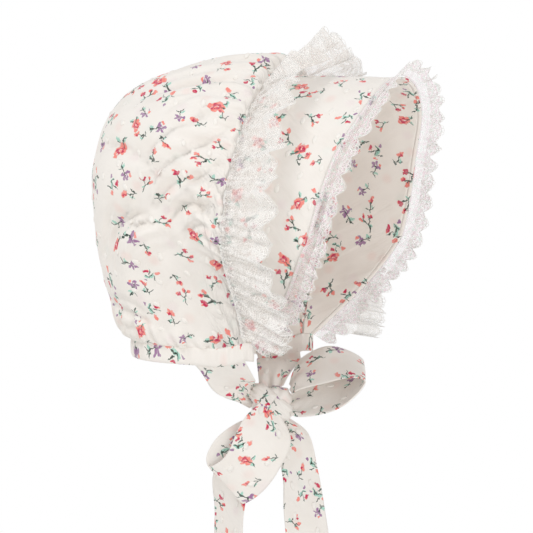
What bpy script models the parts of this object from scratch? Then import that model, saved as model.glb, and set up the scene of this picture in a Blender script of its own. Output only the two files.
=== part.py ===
# Baby bonnet: gathered crown, brim, two lace trims, neck band, and ties knotted in a bow.
# Metres, +Z up. The face opening looks along -Y and the wearer's right is -X.
# The origin is the top of the seam between crown and brim, where a head carries the bonnet.
import math

import bpy
from mathutils import Matrix, Quaternion, Vector

# Clearance between touching pieces, and the walls of the cloth
GAP = 0.0003
CROWN_WALL = 0.0012
BRIM_WALL = 0.0016
LACE_WALL = 0.0010
TIE_WALL = 0.0014

# Seam between crown and brim: an arch, narrower again at its feet
SEAM_WIDTH = 0.124
FOOT_WIDTH = 0.072
SEAM_HEIGHT = 0.143
SEAM_WIDEST_DROP = 0.084
SEAM_SET_BACK = 0.009
WIDEST_AT = 0.56

# Crown: a fan of arches that share their feet, from the seam round to the neck
CROWN_DEPTH = 0.107
CROWN_WIDTH = 0.140
HEM_DROP = 0.004
CROWN_HEIGHT = SEAM_HEIGHT + HEM_DROP
CROWN_PUFF = 0.011
CROWN_RISE = 0.455
NECK_WIDTH = 0.088
NECK_SET_BACK = 0.026
CROWN_SECTIONS = (
    ("place", "back", "puff", "drop", "seam", "full", "neck"),
    (0.00, 0.000, 0.0, 0.000, 1.0, 0.00, 0.0),
    (0.05, 0.037, 0.9, 0.000, 0.6, 0.40, 0.0),
    (0.15, 0.247, 1.0, 0.000, 0.1, 0.90, 0.0),
    (0.30, 0.560, 0.5, 0.005, 0.0, 1.00, 0.0),
    (0.45, 0.853, 0.0, 0.055, 0.0, 0.97, 0.0),
    (0.60, 0.998, 0.0, 0.245, 0.0, 0.93, 0.0),
    (0.75, 1.000, 0.0, 0.530, 0.0, 0.86, 0.0),
    (0.90, 0.930, 0.0, 0.820, 0.0, 0.40, 0.6),
    (0.96, 0.880, 0.0, 0.925, 0.0, 0.20, 0.8),
    (1.00, 0.820, 0.0, 0.972, 0.0, 0.00, 1.0),
)

# Folds of the crown, each a groove or ridge between two places of the crown's surface
FOLD_DEPTH = 0.0048
FOLD_REACH = 0.0080
CROWN_FOLDS = (
    ("from_side", "from_place", "to_side", "to_place", "depth", "reach"),
    (-0.18, 0.03, -0.22, 0.36, -0.7, 1.0),
    (-0.32, 0.02, -0.45, 0.20, -0.8, 0.9),
    (-0.41, 0.02, -0.60, 0.30, -0.9, 1.0),
    (-0.45, 0.06, -0.64, 0.36, 0.7, 0.9),
    (-0.50, 0.02, -0.68, 0.42, -1.0, 1.0),
    (-0.61, 0.40, -0.47, 0.72, -1.0, 1.3),
    (-0.66, 0.36, -0.56, 0.74, 0.6, 1.1),
    (-0.29, 0.53, -0.48, 0.32, -0.5, 1.4),
    (-0.70, 0.88, -0.25, 0.90, -0.6, 1.0),
    (0.04, 0.03, 0.02, 0.30, -0.6, 0.9),
    (0.20, 0.03, 0.26, 0.40, -0.7, 1.0),
    (0.36, 0.02, 0.52, 0.30, -0.9, 1.0),
    (0.48, 0.02, 0.66, 0.42, -1.0, 1.1),
    (0.42, 0.05, 0.60, 0.36, 0.7, 0.9),
    (0.62, 0.44, 0.44, 0.74, -0.9, 1.3),
    (0.25, 0.90, 0.70, 0.88, -0.6, 1.0),
)

# Gathers where the crown meets the seam and where it meets the neck band
GATHER_DEPTH = 0.0011
SEAM_GATHERS = 13
NECK_GATHERS = 9
SEAM_GATHER_PLACE = 0.09
NECK_GATHER_PLACE = 0.93
GATHER_SPREAD = 0.07

# Folds and gathers fade out towards the seam, the neck and the feet, as shares of the surface
SEAM_FADE = 0.11
NECK_FADE = 0.05
FOOT_FADE = 0.08

# Brim: its front edge leans back towards the neck
EDGE_WIDTH = 0.123
EDGE_FOOT_WIDTH = 0.076
EDGE_TOP_DROP = 0.0024
EDGE_WIDEST_DROP = 0.088
BRIM_REACH = 0.0652
BRIM_SECTIONS = (
    ("side", "reach"),
    (0.000, 1.00),
    (0.125, 0.99),
    (0.250, 0.92),
    (0.375, 0.78),
    (0.500, 0.67),
    (0.625, 0.54),
    (0.750, 0.39),
    (0.875, 0.19),
    (1.000, -0.06),
)

# Lace on the brim's edge, with an eyelet in each scallop
EDGE_LACE_WIDTH = 0.0115
EDGE_SCALLOPS = 44
EDGE_SCALLOP_HEIGHT = 0.0032
EDGE_RIPPLE = 0.0013
SCALLOP_FROM = 0.99
EDGE_LACE_SQUARE = 0.8
EDGE_LACE_SECTIONS = (
    ("side", "flare"),
    (0.00, 48.0),
    (0.10, 32.0),
    (0.25, 16.0),
    (0.60, 12.0),
    (1.00, 20.0),
)

# Lace ruffle standing in the seam, in deep waves, with two scallops to a wave
SEAM_LACE_WIDTH = 0.0280
SEAM_LACE_WAVES = 26
SEAM_LACE_WAVE = 0.0070
SEAM_SCALLOP_HEIGHT = 0.0024
SEAM_LACE_FORWARD = 0.0014
SEAM_LACE_SPAN = 0.97
SEAM_LACE_SMOOTHING = 0.08
SEAM_LACE_SECTIONS = (
    ("side", "tilt", "width", "wave"),
    (0.00, 52.0, 1.05, 1.6),
    (0.20, 60.0, 1.10, 1.2),
    (0.40, 69.0, 1.15, 0.9),
    (0.70, 69.0, 1.28, 0.9),
    (0.88, 66.0, 1.42, 0.9),
    (1.00, 64.0, 1.38, 0.9),
)

# Neck band: a folded casing under the crown and the feet of the brim
BAND_HEIGHT = 0.0082
BAND_WALL = 0.0024
BAND_BULGE = 0.0007
BAND_CLEARANCE = 0.0005

# Knot, hanging under the chin
KNOT_LENGTH = 0.0190
KNOT_HEIGHT = 0.0146
KNOT_DEPTH = 0.0146
KNOT_ROUND = 0.0030
KNOT_UNDER_HEM = 0.030
KNOT_DROP = CROWN_HEIGHT + KNOT_UNDER_HEM
KNOT_BACK = 0.011
KNOT_CENTRE = Vector((0.0, KNOT_BACK, -KNOT_DROP))
# The bow is turned about the vertical, so that it faces a little forward of the wearer's right
BOW_TURN = 26.0

# Ties: strips of cloth from the neck band to the knot
TIE_WIDTH = 0.028
STRIP_CLEARANCE = GAP + TIE_WALL / 2
TIE_SAG = 0.004
TIE_LIFT = 0.0018
TIE_BAND_CLEARANCE = 0.0006
TIE_BAND_PLACES = (0.063, 0.220)
RIGHT_TIE_SECTIONS = (
    ("place", "sag", "width", "lean", "curl"),
    (0.14, 0.9, 0.98, -4.0, 0.03),
    (0.34, 1.2, 0.88, -12.0, 0.08),
    (0.56, 0.8, 0.68, -28.0, 0.14),
    (0.80, 0.2, 0.48, -52.0, 0.14),
    (1.00, 0.0, 0.38, -84.0, 0.00),
)
LEFT_TIE_SECTIONS = (
    ("place", "sag", "width", "lean", "curl"),
    (0.14, 0.3, 0.92, 2.0, 0.02),
    (0.34, -0.4, 0.86, 4.0, 0.05),
    (0.56, -0.8, 0.74, 4.0, 0.07),
    (0.80, -0.5, 0.58, 2.0, 0.05),
    (1.00, 0.0, 0.46, 0.0, 0.00),
)

# Bow loops and tails. Side, forward and down are shares of the strip's length, in the bow's own
# turned directions. Lean turns the strip's width from forward to down, and yaw turns it sideways.
LOOP_LENGTH = 0.040
FRONT_LOOP_SECTIONS = (
    ("place", "side", "forward", "down", "width", "lean", "yaw", "curl"),
    (0.00, 0.00, 0.00, -0.190, 0.45, 90.0, 62.0, 0.00),
    (0.14, 0.00, 0.12, -0.370, 0.84, 90.0, 52.0, 0.04),
    (0.28, 0.00, 0.46, -0.500, 0.98, 90.0, 50.0, 0.04),
    (0.40, 0.00, 0.77, -0.520, 1.00, 90.0, 64.0, 0.02),
    (0.50, 0.00, 0.99, -0.410, 1.00, 90.0, 73.0, 0.00),
    (0.60, 0.00, 0.80, -0.200, 1.00, 90.0, 66.0, 0.02),
    (0.72, 0.00, 0.50, -0.100, 0.98, 90.0, 52.0, 0.04),
    (0.86, 0.00, 0.15, -0.015, 0.84, 90.0, 50.0, 0.04),
    (1.00, 0.00, 0.00, 0.050, 0.58, 90.0, 54.0, 0.00),
)
SIDE_LOOP_SECTIONS = (
    ("place", "side", "forward", "down", "width", "lean", "yaw", "curl"),
    (0.00, 0.22, -0.05, -0.19, 0.34, 22.0, 0.0, 0.00),
    (0.12, 0.25, -0.07, 0.15, 1.00, 20.0, 0.0, 0.02),
    (0.26, 0.27, -0.25, 0.57, 1.04, 18.0, 0.0, 0.02),
    (0.40, 0.25, -0.45, 0.80, 1.04, 32.0, 0.0, 0.01),
    (0.50, 0.18, -0.62, 0.89, 0.98, 48.0, 0.0, 0.00),
    (0.60, 0.11, -0.60, 0.72, 1.00, 38.0, 0.0, 0.01),
    (0.74, 0.09, -0.42, 0.40, 0.98, 24.0, 0.0, 0.02),
    (0.88, 0.07, -0.20, 0.14, 0.80, 14.0, 0.0, 0.03),
    (1.00, 0.04, -0.10, 0.00, 0.46, 0.0, 0.0, 0.00),
)
TAIL_LENGTH = 0.067
REAR_TAIL_SECTIONS = (
    ("place", "side", "forward", "down", "width", "lean", "yaw", "curl"),
    (0.00, -0.015, -0.045, 0.00, 0.42, 0.0, 0.0, 0.00),
    (0.25, -0.090, -0.230, 0.26, 0.76, 6.0, 16.0, 0.06),
    (0.50, -0.125, -0.330, 0.52, 0.92, 2.0, 40.0, 0.05),
    (0.75, -0.125, -0.346, 0.76, 0.97, 0.0, 53.0, 0.03),
    (1.00, -0.125, -0.355, 1.00, 0.97, 0.0, 56.0, 0.02),
)
FRONT_TAIL_SECTIONS = (
    ("place", "side", "forward", "down", "width", "lean", "yaw", "curl"),
    (0.00, -0.075, 0.030, 0.00, 0.42, 0.0, 0.0, 0.00),
    (0.18, -0.080, 0.165, 0.16, 0.64, -8.0, -12.0, 0.08),
    (0.45, -0.060, 0.230, 0.45, 0.82, -6.0, -34.0, 0.06),
    (0.72, -0.040, 0.263, 0.72, 0.94, -3.0, -34.0, 0.03),
    (1.00, -0.030, 0.294, 1.00, 0.97, 0.0, -31.0, 0.02),
)

# Share of the hem's run on each side that lies along the foot, and the brim's share of that
HEM_FEET = 0.16
HEM_BRIM_SHARE = 0.25

# Steps along a surface or curve over which its direction is taken
NORMAL_STEP = 0.004
RUN_STEP = 0.01
TRAVEL_STEP = 0.02

# Mesh densities
CROWN_STEPS = (48, 18)
BRIM_STEPS = (48, 3)
BAND_STEPS = 44
LACE_STEPS_PER_SCALLOP = 3
SEAM_LACE_STEPS_PER_WAVE = 6
LACE_ROWS = 3
STRIP_STEPS = 4
LOOP_STEPS = 20
TAIL_STEPS = 10

FORWARD = Vector((0.0, -1.0, 0.0))
DOWN = Vector((0.0, 0.0, -1.0))
WEARERS_RIGHT = Vector((-1.0, 0.0, 0.0))
UNTURNED = Quaternion()
BOW_SPIN = Matrix.Rotation(math.radians(BOW_TURN), 3, "Z")
BOW_FORWARD = BOW_SPIN @ FORWARD
BOW_SIDE = BOW_SPIN @ WEARERS_RIGHT


def clear_scene():
    for item in list(bpy.data.objects):
        bpy.data.objects.remove(item, do_unlink=True)


def material(name, colour, roughness):
    made = bpy.data.materials.new(name)
    made.use_nodes = True
    shader = made.node_tree.nodes["Principled BSDF"]
    shader.inputs["Base Color"].default_value = (*colour, 1.0)
    shader.inputs["Roughness"].default_value = roughness
    shader.inputs["Metallic"].default_value = 0.0
    return made


# Value of one column of a table at a place, on a smooth curve through the rows
def table_value(table, column, place):
    index = table[0].index(column)
    rows = table[1:]
    place = min(max(place, rows[0][0]), rows[-1][0])
    after = max(1, next(i for i, row in enumerate(rows) if row[0] >= place))

    def slope(i):
        before = max(i - 1, 0)
        behind = min(i + 1, len(rows) - 1)
        return (rows[behind][index] - rows[before][index]) / (rows[behind][0] - rows[before][0])

    low, high = rows[after - 1], rows[after]
    span = high[0] - low[0]
    k = (place - low[0]) / span
    value = (2 * k**3 - 3 * k**2 + 1) * low[index] + (3 * k**2 - 2 * k**3) * high[index]
    value += (k**3 - 2 * k**2 + k) * span * slope(after - 1) + (k**3 - k**2) * span * slope(after)
    return value


def ease(k):
    k = min(max(k, 0.0), 1.0)
    return k * k * (3 - 2 * k)


# Arch across the head. Side runs from -1 at the wearer's right foot to 1 at the left foot.
# Height is 1 at the top and 0 at the feet, and turned grows from 0 to 1 on the way to the widest.
def arch(side, half_width, half_foot, rise):
    reach = abs(side)
    if reach <= WIDEST_AT:
        angle = math.radians(90 * reach / WIDEST_AT)
        across = half_width * math.sin(angle)
        height = 1 - rise + rise * math.cos(angle)
        turned = 1 - math.cos(angle)
    else:
        k = (reach - WIDEST_AT) / (1 - WIDEST_AT)
        across = half_width + (half_foot - half_width) * ease(k)
        height = (1 - rise) * (1 - k)
        turned = 1.0
    return math.copysign(across, side), height, turned


def seam_point(side):
    across, height, turned = arch(side, SEAM_WIDTH / 2, FOOT_WIDTH / 2, SEAM_WIDEST_DROP / SEAM_HEIGHT)
    return Vector((across, SEAM_SET_BACK * turned, -SEAM_HEIGHT * (1 - height)))


def edge_point(side):
    fall = SEAM_HEIGHT - EDGE_TOP_DROP
    rise = (EDGE_WIDEST_DROP - EDGE_TOP_DROP) / fall
    across, height, turned = arch(side, EDGE_WIDTH / 2, EDGE_FOOT_WIDTH / 2, rise)
    reach = BRIM_REACH * table_value(BRIM_SECTIONS, "reach", abs(side))
    return Vector((across, -reach, -SEAM_HEIGHT + fall * height))


# Crown without folds, at a side and a place between the seam at 0 and the neck at 1
def crown_base(side, place):
    seam = table_value(CROWN_SECTIONS, "seam", place)
    full = table_value(CROWN_SECTIONS, "full", place)
    neck = table_value(CROWN_SECTIONS, "neck", place)
    half_width = (seam * SEAM_WIDTH + full * CROWN_WIDTH + neck * NECK_WIDTH) / 2
    seam_rise = SEAM_WIDEST_DROP / SEAM_HEIGHT
    rise = seam_rise + (CROWN_RISE - seam_rise) * ease(place / 0.3)
    across, height, turned = arch(side, half_width, FOOT_WIDTH / 2, rise)
    back = CROWN_DEPTH * table_value(CROWN_SECTIONS, "back", place)
    top = CROWN_PUFF * table_value(CROWN_SECTIONS, "puff", place)
    top -= CROWN_HEIGHT * table_value(CROWN_SECTIONS, "drop", place)
    hem = -(SEAM_HEIGHT + (CROWN_HEIGHT - SEAM_HEIGHT) * place)
    foot = NECK_SET_BACK * place
    y = foot + (back - foot) * height + SEAM_SET_BACK * turned * (1 - place) ** 2
    return Vector((across, y + GAP / 2, hem + (top - hem) * height))


def crown_normal(side, place):
    step = NORMAL_STEP
    along = crown_base(min(side + step, 1), place) - crown_base(max(side - step, -1), place)
    back = crown_base(side, min(place + step, 1)) - crown_base(side, max(place - step, 0))
    return along.cross(back).normalized()


# Distance from a point to the fold's line, and how far along the line the nearest place lies
def fold_distance(point, fold):
    from_side, from_place, to_side, to_place = fold[:4]
    knots = 6
    best, best_along = 1.0, 0.0
    for i in range(knots + 1):
        k = i / knots
        spot = crown_base(from_side + (to_side - from_side) * k, from_place + (to_place - from_place) * k)
        distance = (point - spot).length
        if distance < best:
            best, best_along = distance, k
    return best, best_along


def crown_relief(point, side, place):
    relief = 0.0
    for fold in CROWN_FOLDS[1:]:
        distance, along = fold_distance(point, fold)
        reach = FOLD_REACH * fold[5]
        taper = 0.55 + 0.45 * math.sin(math.pi * along)
        relief += FOLD_DEPTH * fold[4] * taper * math.exp(-(distance / reach) ** 2)
    seam_share = math.exp(-((place - SEAM_GATHER_PLACE) / GATHER_SPREAD) ** 2)
    neck_share = math.exp(-((place - NECK_GATHER_PLACE) / GATHER_SPREAD) ** 2)
    relief += GATHER_DEPTH * seam_share * math.cos(2 * math.pi * SEAM_GATHERS * side)
    relief += GATHER_DEPTH * neck_share * math.cos(2 * math.pi * NECK_GATHERS * side)
    fade = ease(place / SEAM_FADE) * ease((1 - place) / NECK_FADE)
    return relief * fade * ease((1 - abs(side)) / FOOT_FADE)


def crown_point(u, v):
    side = 2 * u - 1
    base = crown_base(side, v)
    return base + crown_normal(side, v) * crown_relief(base, side, v)


def brim_point(u, v):
    side = 2 * u - 1
    rear = seam_point(side) + FORWARD * GAP / 2
    return rear.lerp(edge_point(side), v)


# Outward direction of an arch-shaped curve, square to its run and level with the face opening
def outward(curve, side, step=RUN_STEP):
    run = curve(min(side + step, 1)) - curve(max(side - step, -1))
    return Vector((-run.z, 0.0, run.x)).normalized()


# Lace on the edge: it carries on from the brim, flared, with a scallop along its free border
def edge_lace_point(u, v):
    side = 2 * u - 1
    step = RUN_STEP
    run = (edge_point(min(side + step, 1)) - edge_point(max(side - step, -1))).normalized()
    out = outward(edge_point, side)
    ahead = (FORWARD - run * FORWARD.dot(run) * EDGE_LACE_SQUARE).normalized()
    flare = math.radians(table_value(EDGE_LACE_SECTIONS, "flare", abs(side)))
    direction = ahead * math.cos(flare) + out * math.sin(flare)
    foot = edge_point(side) - out * BRIM_WALL / 2 + ahead * (GAP + LACE_WALL / 2)
    length = EDGE_LACE_WIDTH * v
    if v > SCALLOP_FROM:
        length += EDGE_SCALLOP_HEIGHT * (abs(math.sin(math.pi * EDGE_SCALLOPS * u)) - 1)
    ripple = EDGE_RIPPLE * v * math.sin(math.pi * EDGE_SCALLOPS * u)
    return foot + direction * length + out * ripple


# Ruffle in the seam: it stands off the brim, tilted forward, and its waves deepen outwards
def seam_lace_point(u, v):
    side = (2 * u - 1) * SEAM_LACE_SPAN
    ahead = (edge_point(side) - seam_point(side)).normalized()
    out = outward(seam_point, side, SEAM_LACE_SMOOTHING)
    out = (out - ahead * out.dot(ahead)).normalized()
    tilt = math.radians(table_value(SEAM_LACE_SECTIONS, "tilt", abs(side)))
    direction = out * math.cos(tilt) + ahead * math.sin(tilt)
    square = ahead * math.cos(tilt) - out * math.sin(tilt)
    foot = seam_point(side) + out * (GAP + LACE_WALL / 2) + ahead * SEAM_LACE_FORWARD
    length = SEAM_LACE_WIDTH * table_value(SEAM_LACE_SECTIONS, "width", abs(side)) * v
    if v > SCALLOP_FROM:
        length += SEAM_SCALLOP_HEIGHT * (math.cos(4 * math.pi * SEAM_LACE_WAVES * u) - 1) / 2
    wave = SEAM_LACE_WAVE * table_value(SEAM_LACE_SECTIONS, "wave", abs(side)) * v
    swing = wave * math.sin(2 * math.pi * SEAM_LACE_WAVES * u)
    return foot + direction * length + square * swing


# Lower border of brim foot and crown, from the wearer's right front corner round the neck
def hem_point(t):
    if t < HEM_FEET:
        return hem_side(-1, t / HEM_FEET)
    if t > 1 - HEM_FEET:
        return hem_side(1, (1 - t) / HEM_FEET)
    side = -1 + 2 * (t - HEM_FEET) / (1 - 2 * HEM_FEET)
    return crown_base(side, 1.0)


def hem_side(side, k):
    if k < HEM_BRIM_SHARE:
        return edge_point(side).lerp(crown_base(side, 0.0), k / HEM_BRIM_SHARE)
    return crown_base(side, (k - HEM_BRIM_SHARE) / (1 - HEM_BRIM_SHARE))


def hem_outward(t):
    run = hem_point(min(t + RUN_STEP, 1)) - hem_point(max(t - RUN_STEP, 0))
    return Vector((-run.y, run.x, 0.0)).normalized()


# One object from a mesh of points and faces
def add_object(name, points, faces, look):
    mesh = bpy.data.meshes.new(name)
    mesh.from_pydata([tuple(point) for point in points], [], faces)
    mesh.update()
    made = bpy.data.objects.new(name, mesh)
    bpy.context.scene.collection.objects.link(made)
    made.data.materials.append(look)
    mesh.shade_smooth()
    return made


# A cloth sheet over a grid of points, thickened by its wall. Offset -1 thickens inwards, 0 both ways.
def add_sheet(name, steps, point, wall, offset, look, left_out=None):
    columns, rows = steps
    points = [point(i / columns, j / rows) for i in range(columns + 1) for j in range(rows + 1)]
    faces = []
    for i in range(columns):
        for j in range(rows):
            if left_out and left_out(i, j):
                continue
            a = i * (rows + 1) + j
            faces.append((a, a + rows + 1, a + rows + 2, a + 1))
    made = add_object(name, points, faces, look)
    wall_modifier = made.modifiers.new("wall", "SOLIDIFY")
    wall_modifier.thickness = wall
    wall_modifier.offset = offset
    return made


# Points across one strip section, slightly curled
def strip_row(centre, width, lean, yaw, curl, travel, spin):
    lean, yaw = math.radians(lean), math.radians(yaw)
    across = (FORWARD * math.cos(lean) + DOWN * math.sin(lean)) * math.cos(yaw)
    across = spin @ (across + WEARERS_RIGHT * math.sin(yaw))
    rise = across.cross(travel).normalized()
    row = []
    for i in range(STRIP_STEPS + 1):
        k = 2 * i / STRIP_STEPS - 1
        row.append(centre + across * (k * width / 2) + rise * (curl * width * (1 - k * k)))
    return row


# Rows of a loop or tail that starts at an anchor on the knot
def strip_rows(table, anchor, length, steps):
    def centre(place):
        side = table_value(table, "side", place)
        forward = table_value(table, "forward", place)
        down = table_value(table, "down", place)
        return anchor + (BOW_SIDE * side + BOW_FORWARD * forward + DOWN * down) * length

    rows = []
    for i in range(steps + 1):
        place = i / steps
        travel = centre(min(place + TRAVEL_STEP, 1)) - centre(max(place - TRAVEL_STEP, 0))
        width = TIE_WIDTH * table_value(table, "width", place)
        turns = [table_value(table, column, place) for column in ("lean", "yaw", "curl")]
        rows.append(strip_row(centre(place), width, *turns, travel, BOW_SPIN))
    return rows


def add_strip(name, rows, look):
    columns = len(rows) - 1

    def point(u, v):
        return rows[round(u * columns)][round(v * STRIP_STEPS)]

    return add_sheet(name, (columns, STRIP_STEPS), point, TIE_WALL, 0.0, look)


# Rows of a tie, from its sewn end under the neck band to the knot. Side is -1 or 1.
def tie_rows(side, table, anchor):
    near, far = TIE_BAND_PLACES
    drop = BAND_CLEARANCE + BAND_HEIGHT + TIE_BAND_CLEARANCE + TIE_WALL / 2
    sewn = []
    for i in range(STRIP_STEPS + 1):
        t = near + (far - near) * (1 - i / STRIP_STEPS)
        t = t if side < 0 else 1 - t
        sewn.append(hem_point(t) - hem_outward(t) * BAND_WALL / 2 + DOWN * drop)
    start = sewn[STRIP_STEPS // 2]
    rows = [sewn]
    travel = anchor - start
    bow = BOW_SPIN.to_quaternion()
    for place, sag, width, lean, curl in table[1:]:
        centre = start.lerp(anchor, place) + DOWN * sag * TIE_SAG
        spin = UNTURNED.slerp(bow, place).to_matrix()
        rows.append(strip_row(centre, TIE_WIDTH * width, lean, 0.0, -curl * side, travel, spin))
    return rows


def add_crown(look):
    return add_sheet("crown", CROWN_STEPS, crown_point, CROWN_WALL, -1.0, look)


def add_brim(look):
    def point(u, v):
        return brim_point(u, 1 - v)

    return add_sheet("brim", BRIM_STEPS, point, BRIM_WALL, -1.0, look)


def add_edge_lace(look):
    columns = EDGE_SCALLOPS * LACE_STEPS_PER_SCALLOP

    def eyelet(i, j):
        return i % LACE_STEPS_PER_SCALLOP == 1 and j == 1

    return add_sheet("brim_edge_lace", (columns, LACE_ROWS), edge_lace_point, LACE_WALL, 0.0, look, eyelet)


def add_seam_lace(look):
    columns = SEAM_LACE_WAVES * SEAM_LACE_STEPS_PER_WAVE

    def eyelet(i, j):
        return i % 3 == 1 and j == 1

    return add_sheet("seam_lace", (columns, LACE_ROWS), seam_lace_point, LACE_WALL, 0.0, look, eyelet)


# The band is a closed tube of flat cloth: five points round its section, capped at both ends
def add_neck_band(look):
    points, faces = [], []
    for i in range(BAND_STEPS + 1):
        t = i / BAND_STEPS
        out = hem_outward(t)
        top = hem_point(t) + DOWN * BAND_CLEARANCE + out * BAND_BULGE / 2
        low = top + DOWN * BAND_HEIGHT
        middle = (top + low) / 2 + out * BAND_BULGE
        points += [top, middle, low, low - out * BAND_WALL, top - out * BAND_WALL]
    for i in range(BAND_STEPS):
        for j in range(5):
            a, b = i * 5 + j, i * 5 + (j + 1) % 5
            faces.append((a, a + 5, b + 5, b))
    faces.append((0, 1, 2, 3, 4))
    last = BAND_STEPS * 5
    faces.append((last + 4, last + 3, last + 2, last + 1, last))
    return add_object("neck_band", points, faces, look)


def add_knot(look):
    half = Vector((KNOT_DEPTH, KNOT_LENGTH, KNOT_HEIGHT)) / 2
    points = []
    for x in (-1, 1):
        for y in (-1, 1):
            for z in (-1, 1):
                points.append(Vector((x * half.x, y * half.y, z * half.z)))
    faces = [(0, 1, 3, 2), (4, 6, 7, 5), (0, 4, 5, 1), (2, 3, 7, 6), (0, 2, 6, 4), (1, 5, 7, 3)]
    made = add_object("knot", points, faces, look)
    made.location = KNOT_CENTRE
    made.rotation_euler = (0.0, 0.0, math.radians(BOW_TURN))
    rounded = made.modifiers.new("rounded", "BEVEL")
    rounded.width = KNOT_ROUND
    rounded.segments = 2
    return made


def add_ties(look):
    rear = KNOT_CENTRE - BOW_FORWARD * (KNOT_LENGTH / 2 + STRIP_CLEARANCE) - DOWN * TIE_LIFT
    top = KNOT_CENTRE - DOWN * (KNOT_HEIGHT / 2 + STRIP_CLEARANCE)
    add_strip("tie_right", tie_rows(-1, RIGHT_TIE_SECTIONS, rear), look)
    add_strip("tie_left", tie_rows(1, LEFT_TIE_SECTIONS, top), look)


def add_bow(look):
    front = KNOT_CENTRE + BOW_FORWARD * (KNOT_LENGTH / 2 + STRIP_CLEARANCE)
    under = KNOT_CENTRE + DOWN * (KNOT_HEIGHT / 2 + STRIP_CLEARANCE)
    add_strip("loop_front", strip_rows(FRONT_LOOP_SECTIONS, front, LOOP_LENGTH, LOOP_STEPS), look)
    add_strip("loop_side", strip_rows(SIDE_LOOP_SECTIONS, under, LOOP_LENGTH, LOOP_STEPS), look)
    add_strip("tail_rear", strip_rows(REAR_TAIL_SECTIONS, under, TAIL_LENGTH, TAIL_STEPS), look)
    add_strip("tail_front", strip_rows(FRONT_TAIL_SECTIONS, under, TAIL_LENGTH, TAIL_STEPS), look)


def main():
    clear_scene()
    add_crown(material("printed cotton, crown", (0.86, 0.83, 0.80), 0.85))
    add_brim(material("printed cotton, brim", (0.86, 0.82, 0.79), 0.85))
    add_neck_band(material("printed cotton, neck band", (0.85, 0.82, 0.79), 0.85))
    lace = material("white lace", (0.90, 0.89, 0.88), 0.7)
    add_edge_lace(lace)
    add_seam_lace(lace)
    strip = material("printed cotton, ties", (0.87, 0.84, 0.81), 0.85)
    add_knot(strip)
    add_ties(strip)
    add_bow(strip)


main()
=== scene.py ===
# Baby bonnet, worn, with no head in it: printed cotton, two lace trims, and ties knotted in a bow.
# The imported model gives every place. Lengths are in metres and the face opening looks along -Y.
import math
import random

import bmesh
import bpy
from mathutils import Matrix, Quaternion, Vector, kdtree, noise


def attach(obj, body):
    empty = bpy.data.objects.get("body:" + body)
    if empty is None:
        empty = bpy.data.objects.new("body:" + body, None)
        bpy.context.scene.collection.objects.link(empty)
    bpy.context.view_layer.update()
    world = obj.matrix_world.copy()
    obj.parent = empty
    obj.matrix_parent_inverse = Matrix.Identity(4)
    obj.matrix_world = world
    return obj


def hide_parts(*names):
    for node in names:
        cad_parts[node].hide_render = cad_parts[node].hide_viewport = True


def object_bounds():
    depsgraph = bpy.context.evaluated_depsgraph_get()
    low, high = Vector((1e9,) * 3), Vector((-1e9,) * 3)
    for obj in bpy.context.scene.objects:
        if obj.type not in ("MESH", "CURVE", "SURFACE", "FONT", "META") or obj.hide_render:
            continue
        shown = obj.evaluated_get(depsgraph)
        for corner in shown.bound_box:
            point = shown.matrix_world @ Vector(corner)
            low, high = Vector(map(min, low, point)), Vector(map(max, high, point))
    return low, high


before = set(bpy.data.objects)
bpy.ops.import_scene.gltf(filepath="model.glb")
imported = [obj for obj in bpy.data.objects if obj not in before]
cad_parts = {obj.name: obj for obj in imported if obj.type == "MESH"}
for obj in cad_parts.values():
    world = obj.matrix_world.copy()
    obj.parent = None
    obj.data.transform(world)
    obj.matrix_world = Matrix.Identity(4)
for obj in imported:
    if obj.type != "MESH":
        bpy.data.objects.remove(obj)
cadLow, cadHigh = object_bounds()
print("frame:", len(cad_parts), "nodes")


# ---- camera, floor and light

view = {
    "azimuth": -64.0,  # degrees round from the front
    "elevation": 2.0,
    "distance": 1.25,
    "width": 0.28782,  # what the frame takes in at the target
    "target": Vector((0.0, 0.012, -0.085)),
    "pixel": (270, 232),  # where the target lies in the image
    "image": 533,
    "sensor": 36.0,
}


def addCamera():
    azimuth, elevation = math.radians(view["azimuth"]), math.radians(view["elevation"])
    back = Vector((
        math.sin(azimuth) * math.cos(elevation),
        -math.cos(azimuth) * math.cos(elevation),
        math.sin(elevation),
    ))
    data = bpy.data.cameras.new("camera")
    data.sensor_width = view["sensor"]
    data.lens = view["sensor"] * view["distance"] / view["width"]
    data.shift_x = (view["image"] / 2 - view["pixel"][0]) / view["image"]
    data.shift_y = (view["pixel"][1] - view["image"] / 2) / view["image"]
    data.clip_start, data.clip_end = 0.01, 50.0
    camera = bpy.data.objects.new("camera", data)
    camera.location = view["target"] + back * view["distance"]
    camera.rotation_mode = "QUATERNION"
    camera.rotation_quaternion = (-back).to_track_quat("-Z", "Y")
    bpy.context.scene.collection.objects.link(camera)
    bpy.context.scene.camera = camera
    return back


back = addCamera()
lookRight = Vector((-back.y, back.x, 0.0)).normalized()
lookUp = back.cross(lookRight)


def hexColour(code):
    parts = [int(code[i:i + 2], 16) / 255 for i in (0, 2, 4)]
    linear = [p / 12.92 if p <= 0.04045 else ((p + 0.055) / 1.055) ** 2.4 for p in parts]
    return (*linear, 1.0)


# One node with its settings. An input takes a value, a socket, or a node for that node's first output.
def addNode(tree, kind, inputs=None, **settings):
    node = tree.nodes.new("ShaderNode" + kind)
    for key, value in settings.items():
        setattr(node, key, value)
    for key, value in (inputs or {}).items():
        if isinstance(value, bpy.types.Node):
            value = next(output for output in value.outputs if output.enabled)
        if isinstance(value, bpy.types.NodeSocket):
            tree.links.new(value, node.inputs[key])
        else:
            node.inputs[key].default_value = value
    return node


def newMaterial(name, colour, roughness):
    made = bpy.data.materials.new(name)
    made.use_nodes = True
    shader = made.node_tree.nodes["Principled BSDF"]
    shader.inputs["Base Color"].default_value = hexColour(colour)
    shader.inputs["Roughness"].default_value = roughness
    return made, made.node_tree, shader


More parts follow.
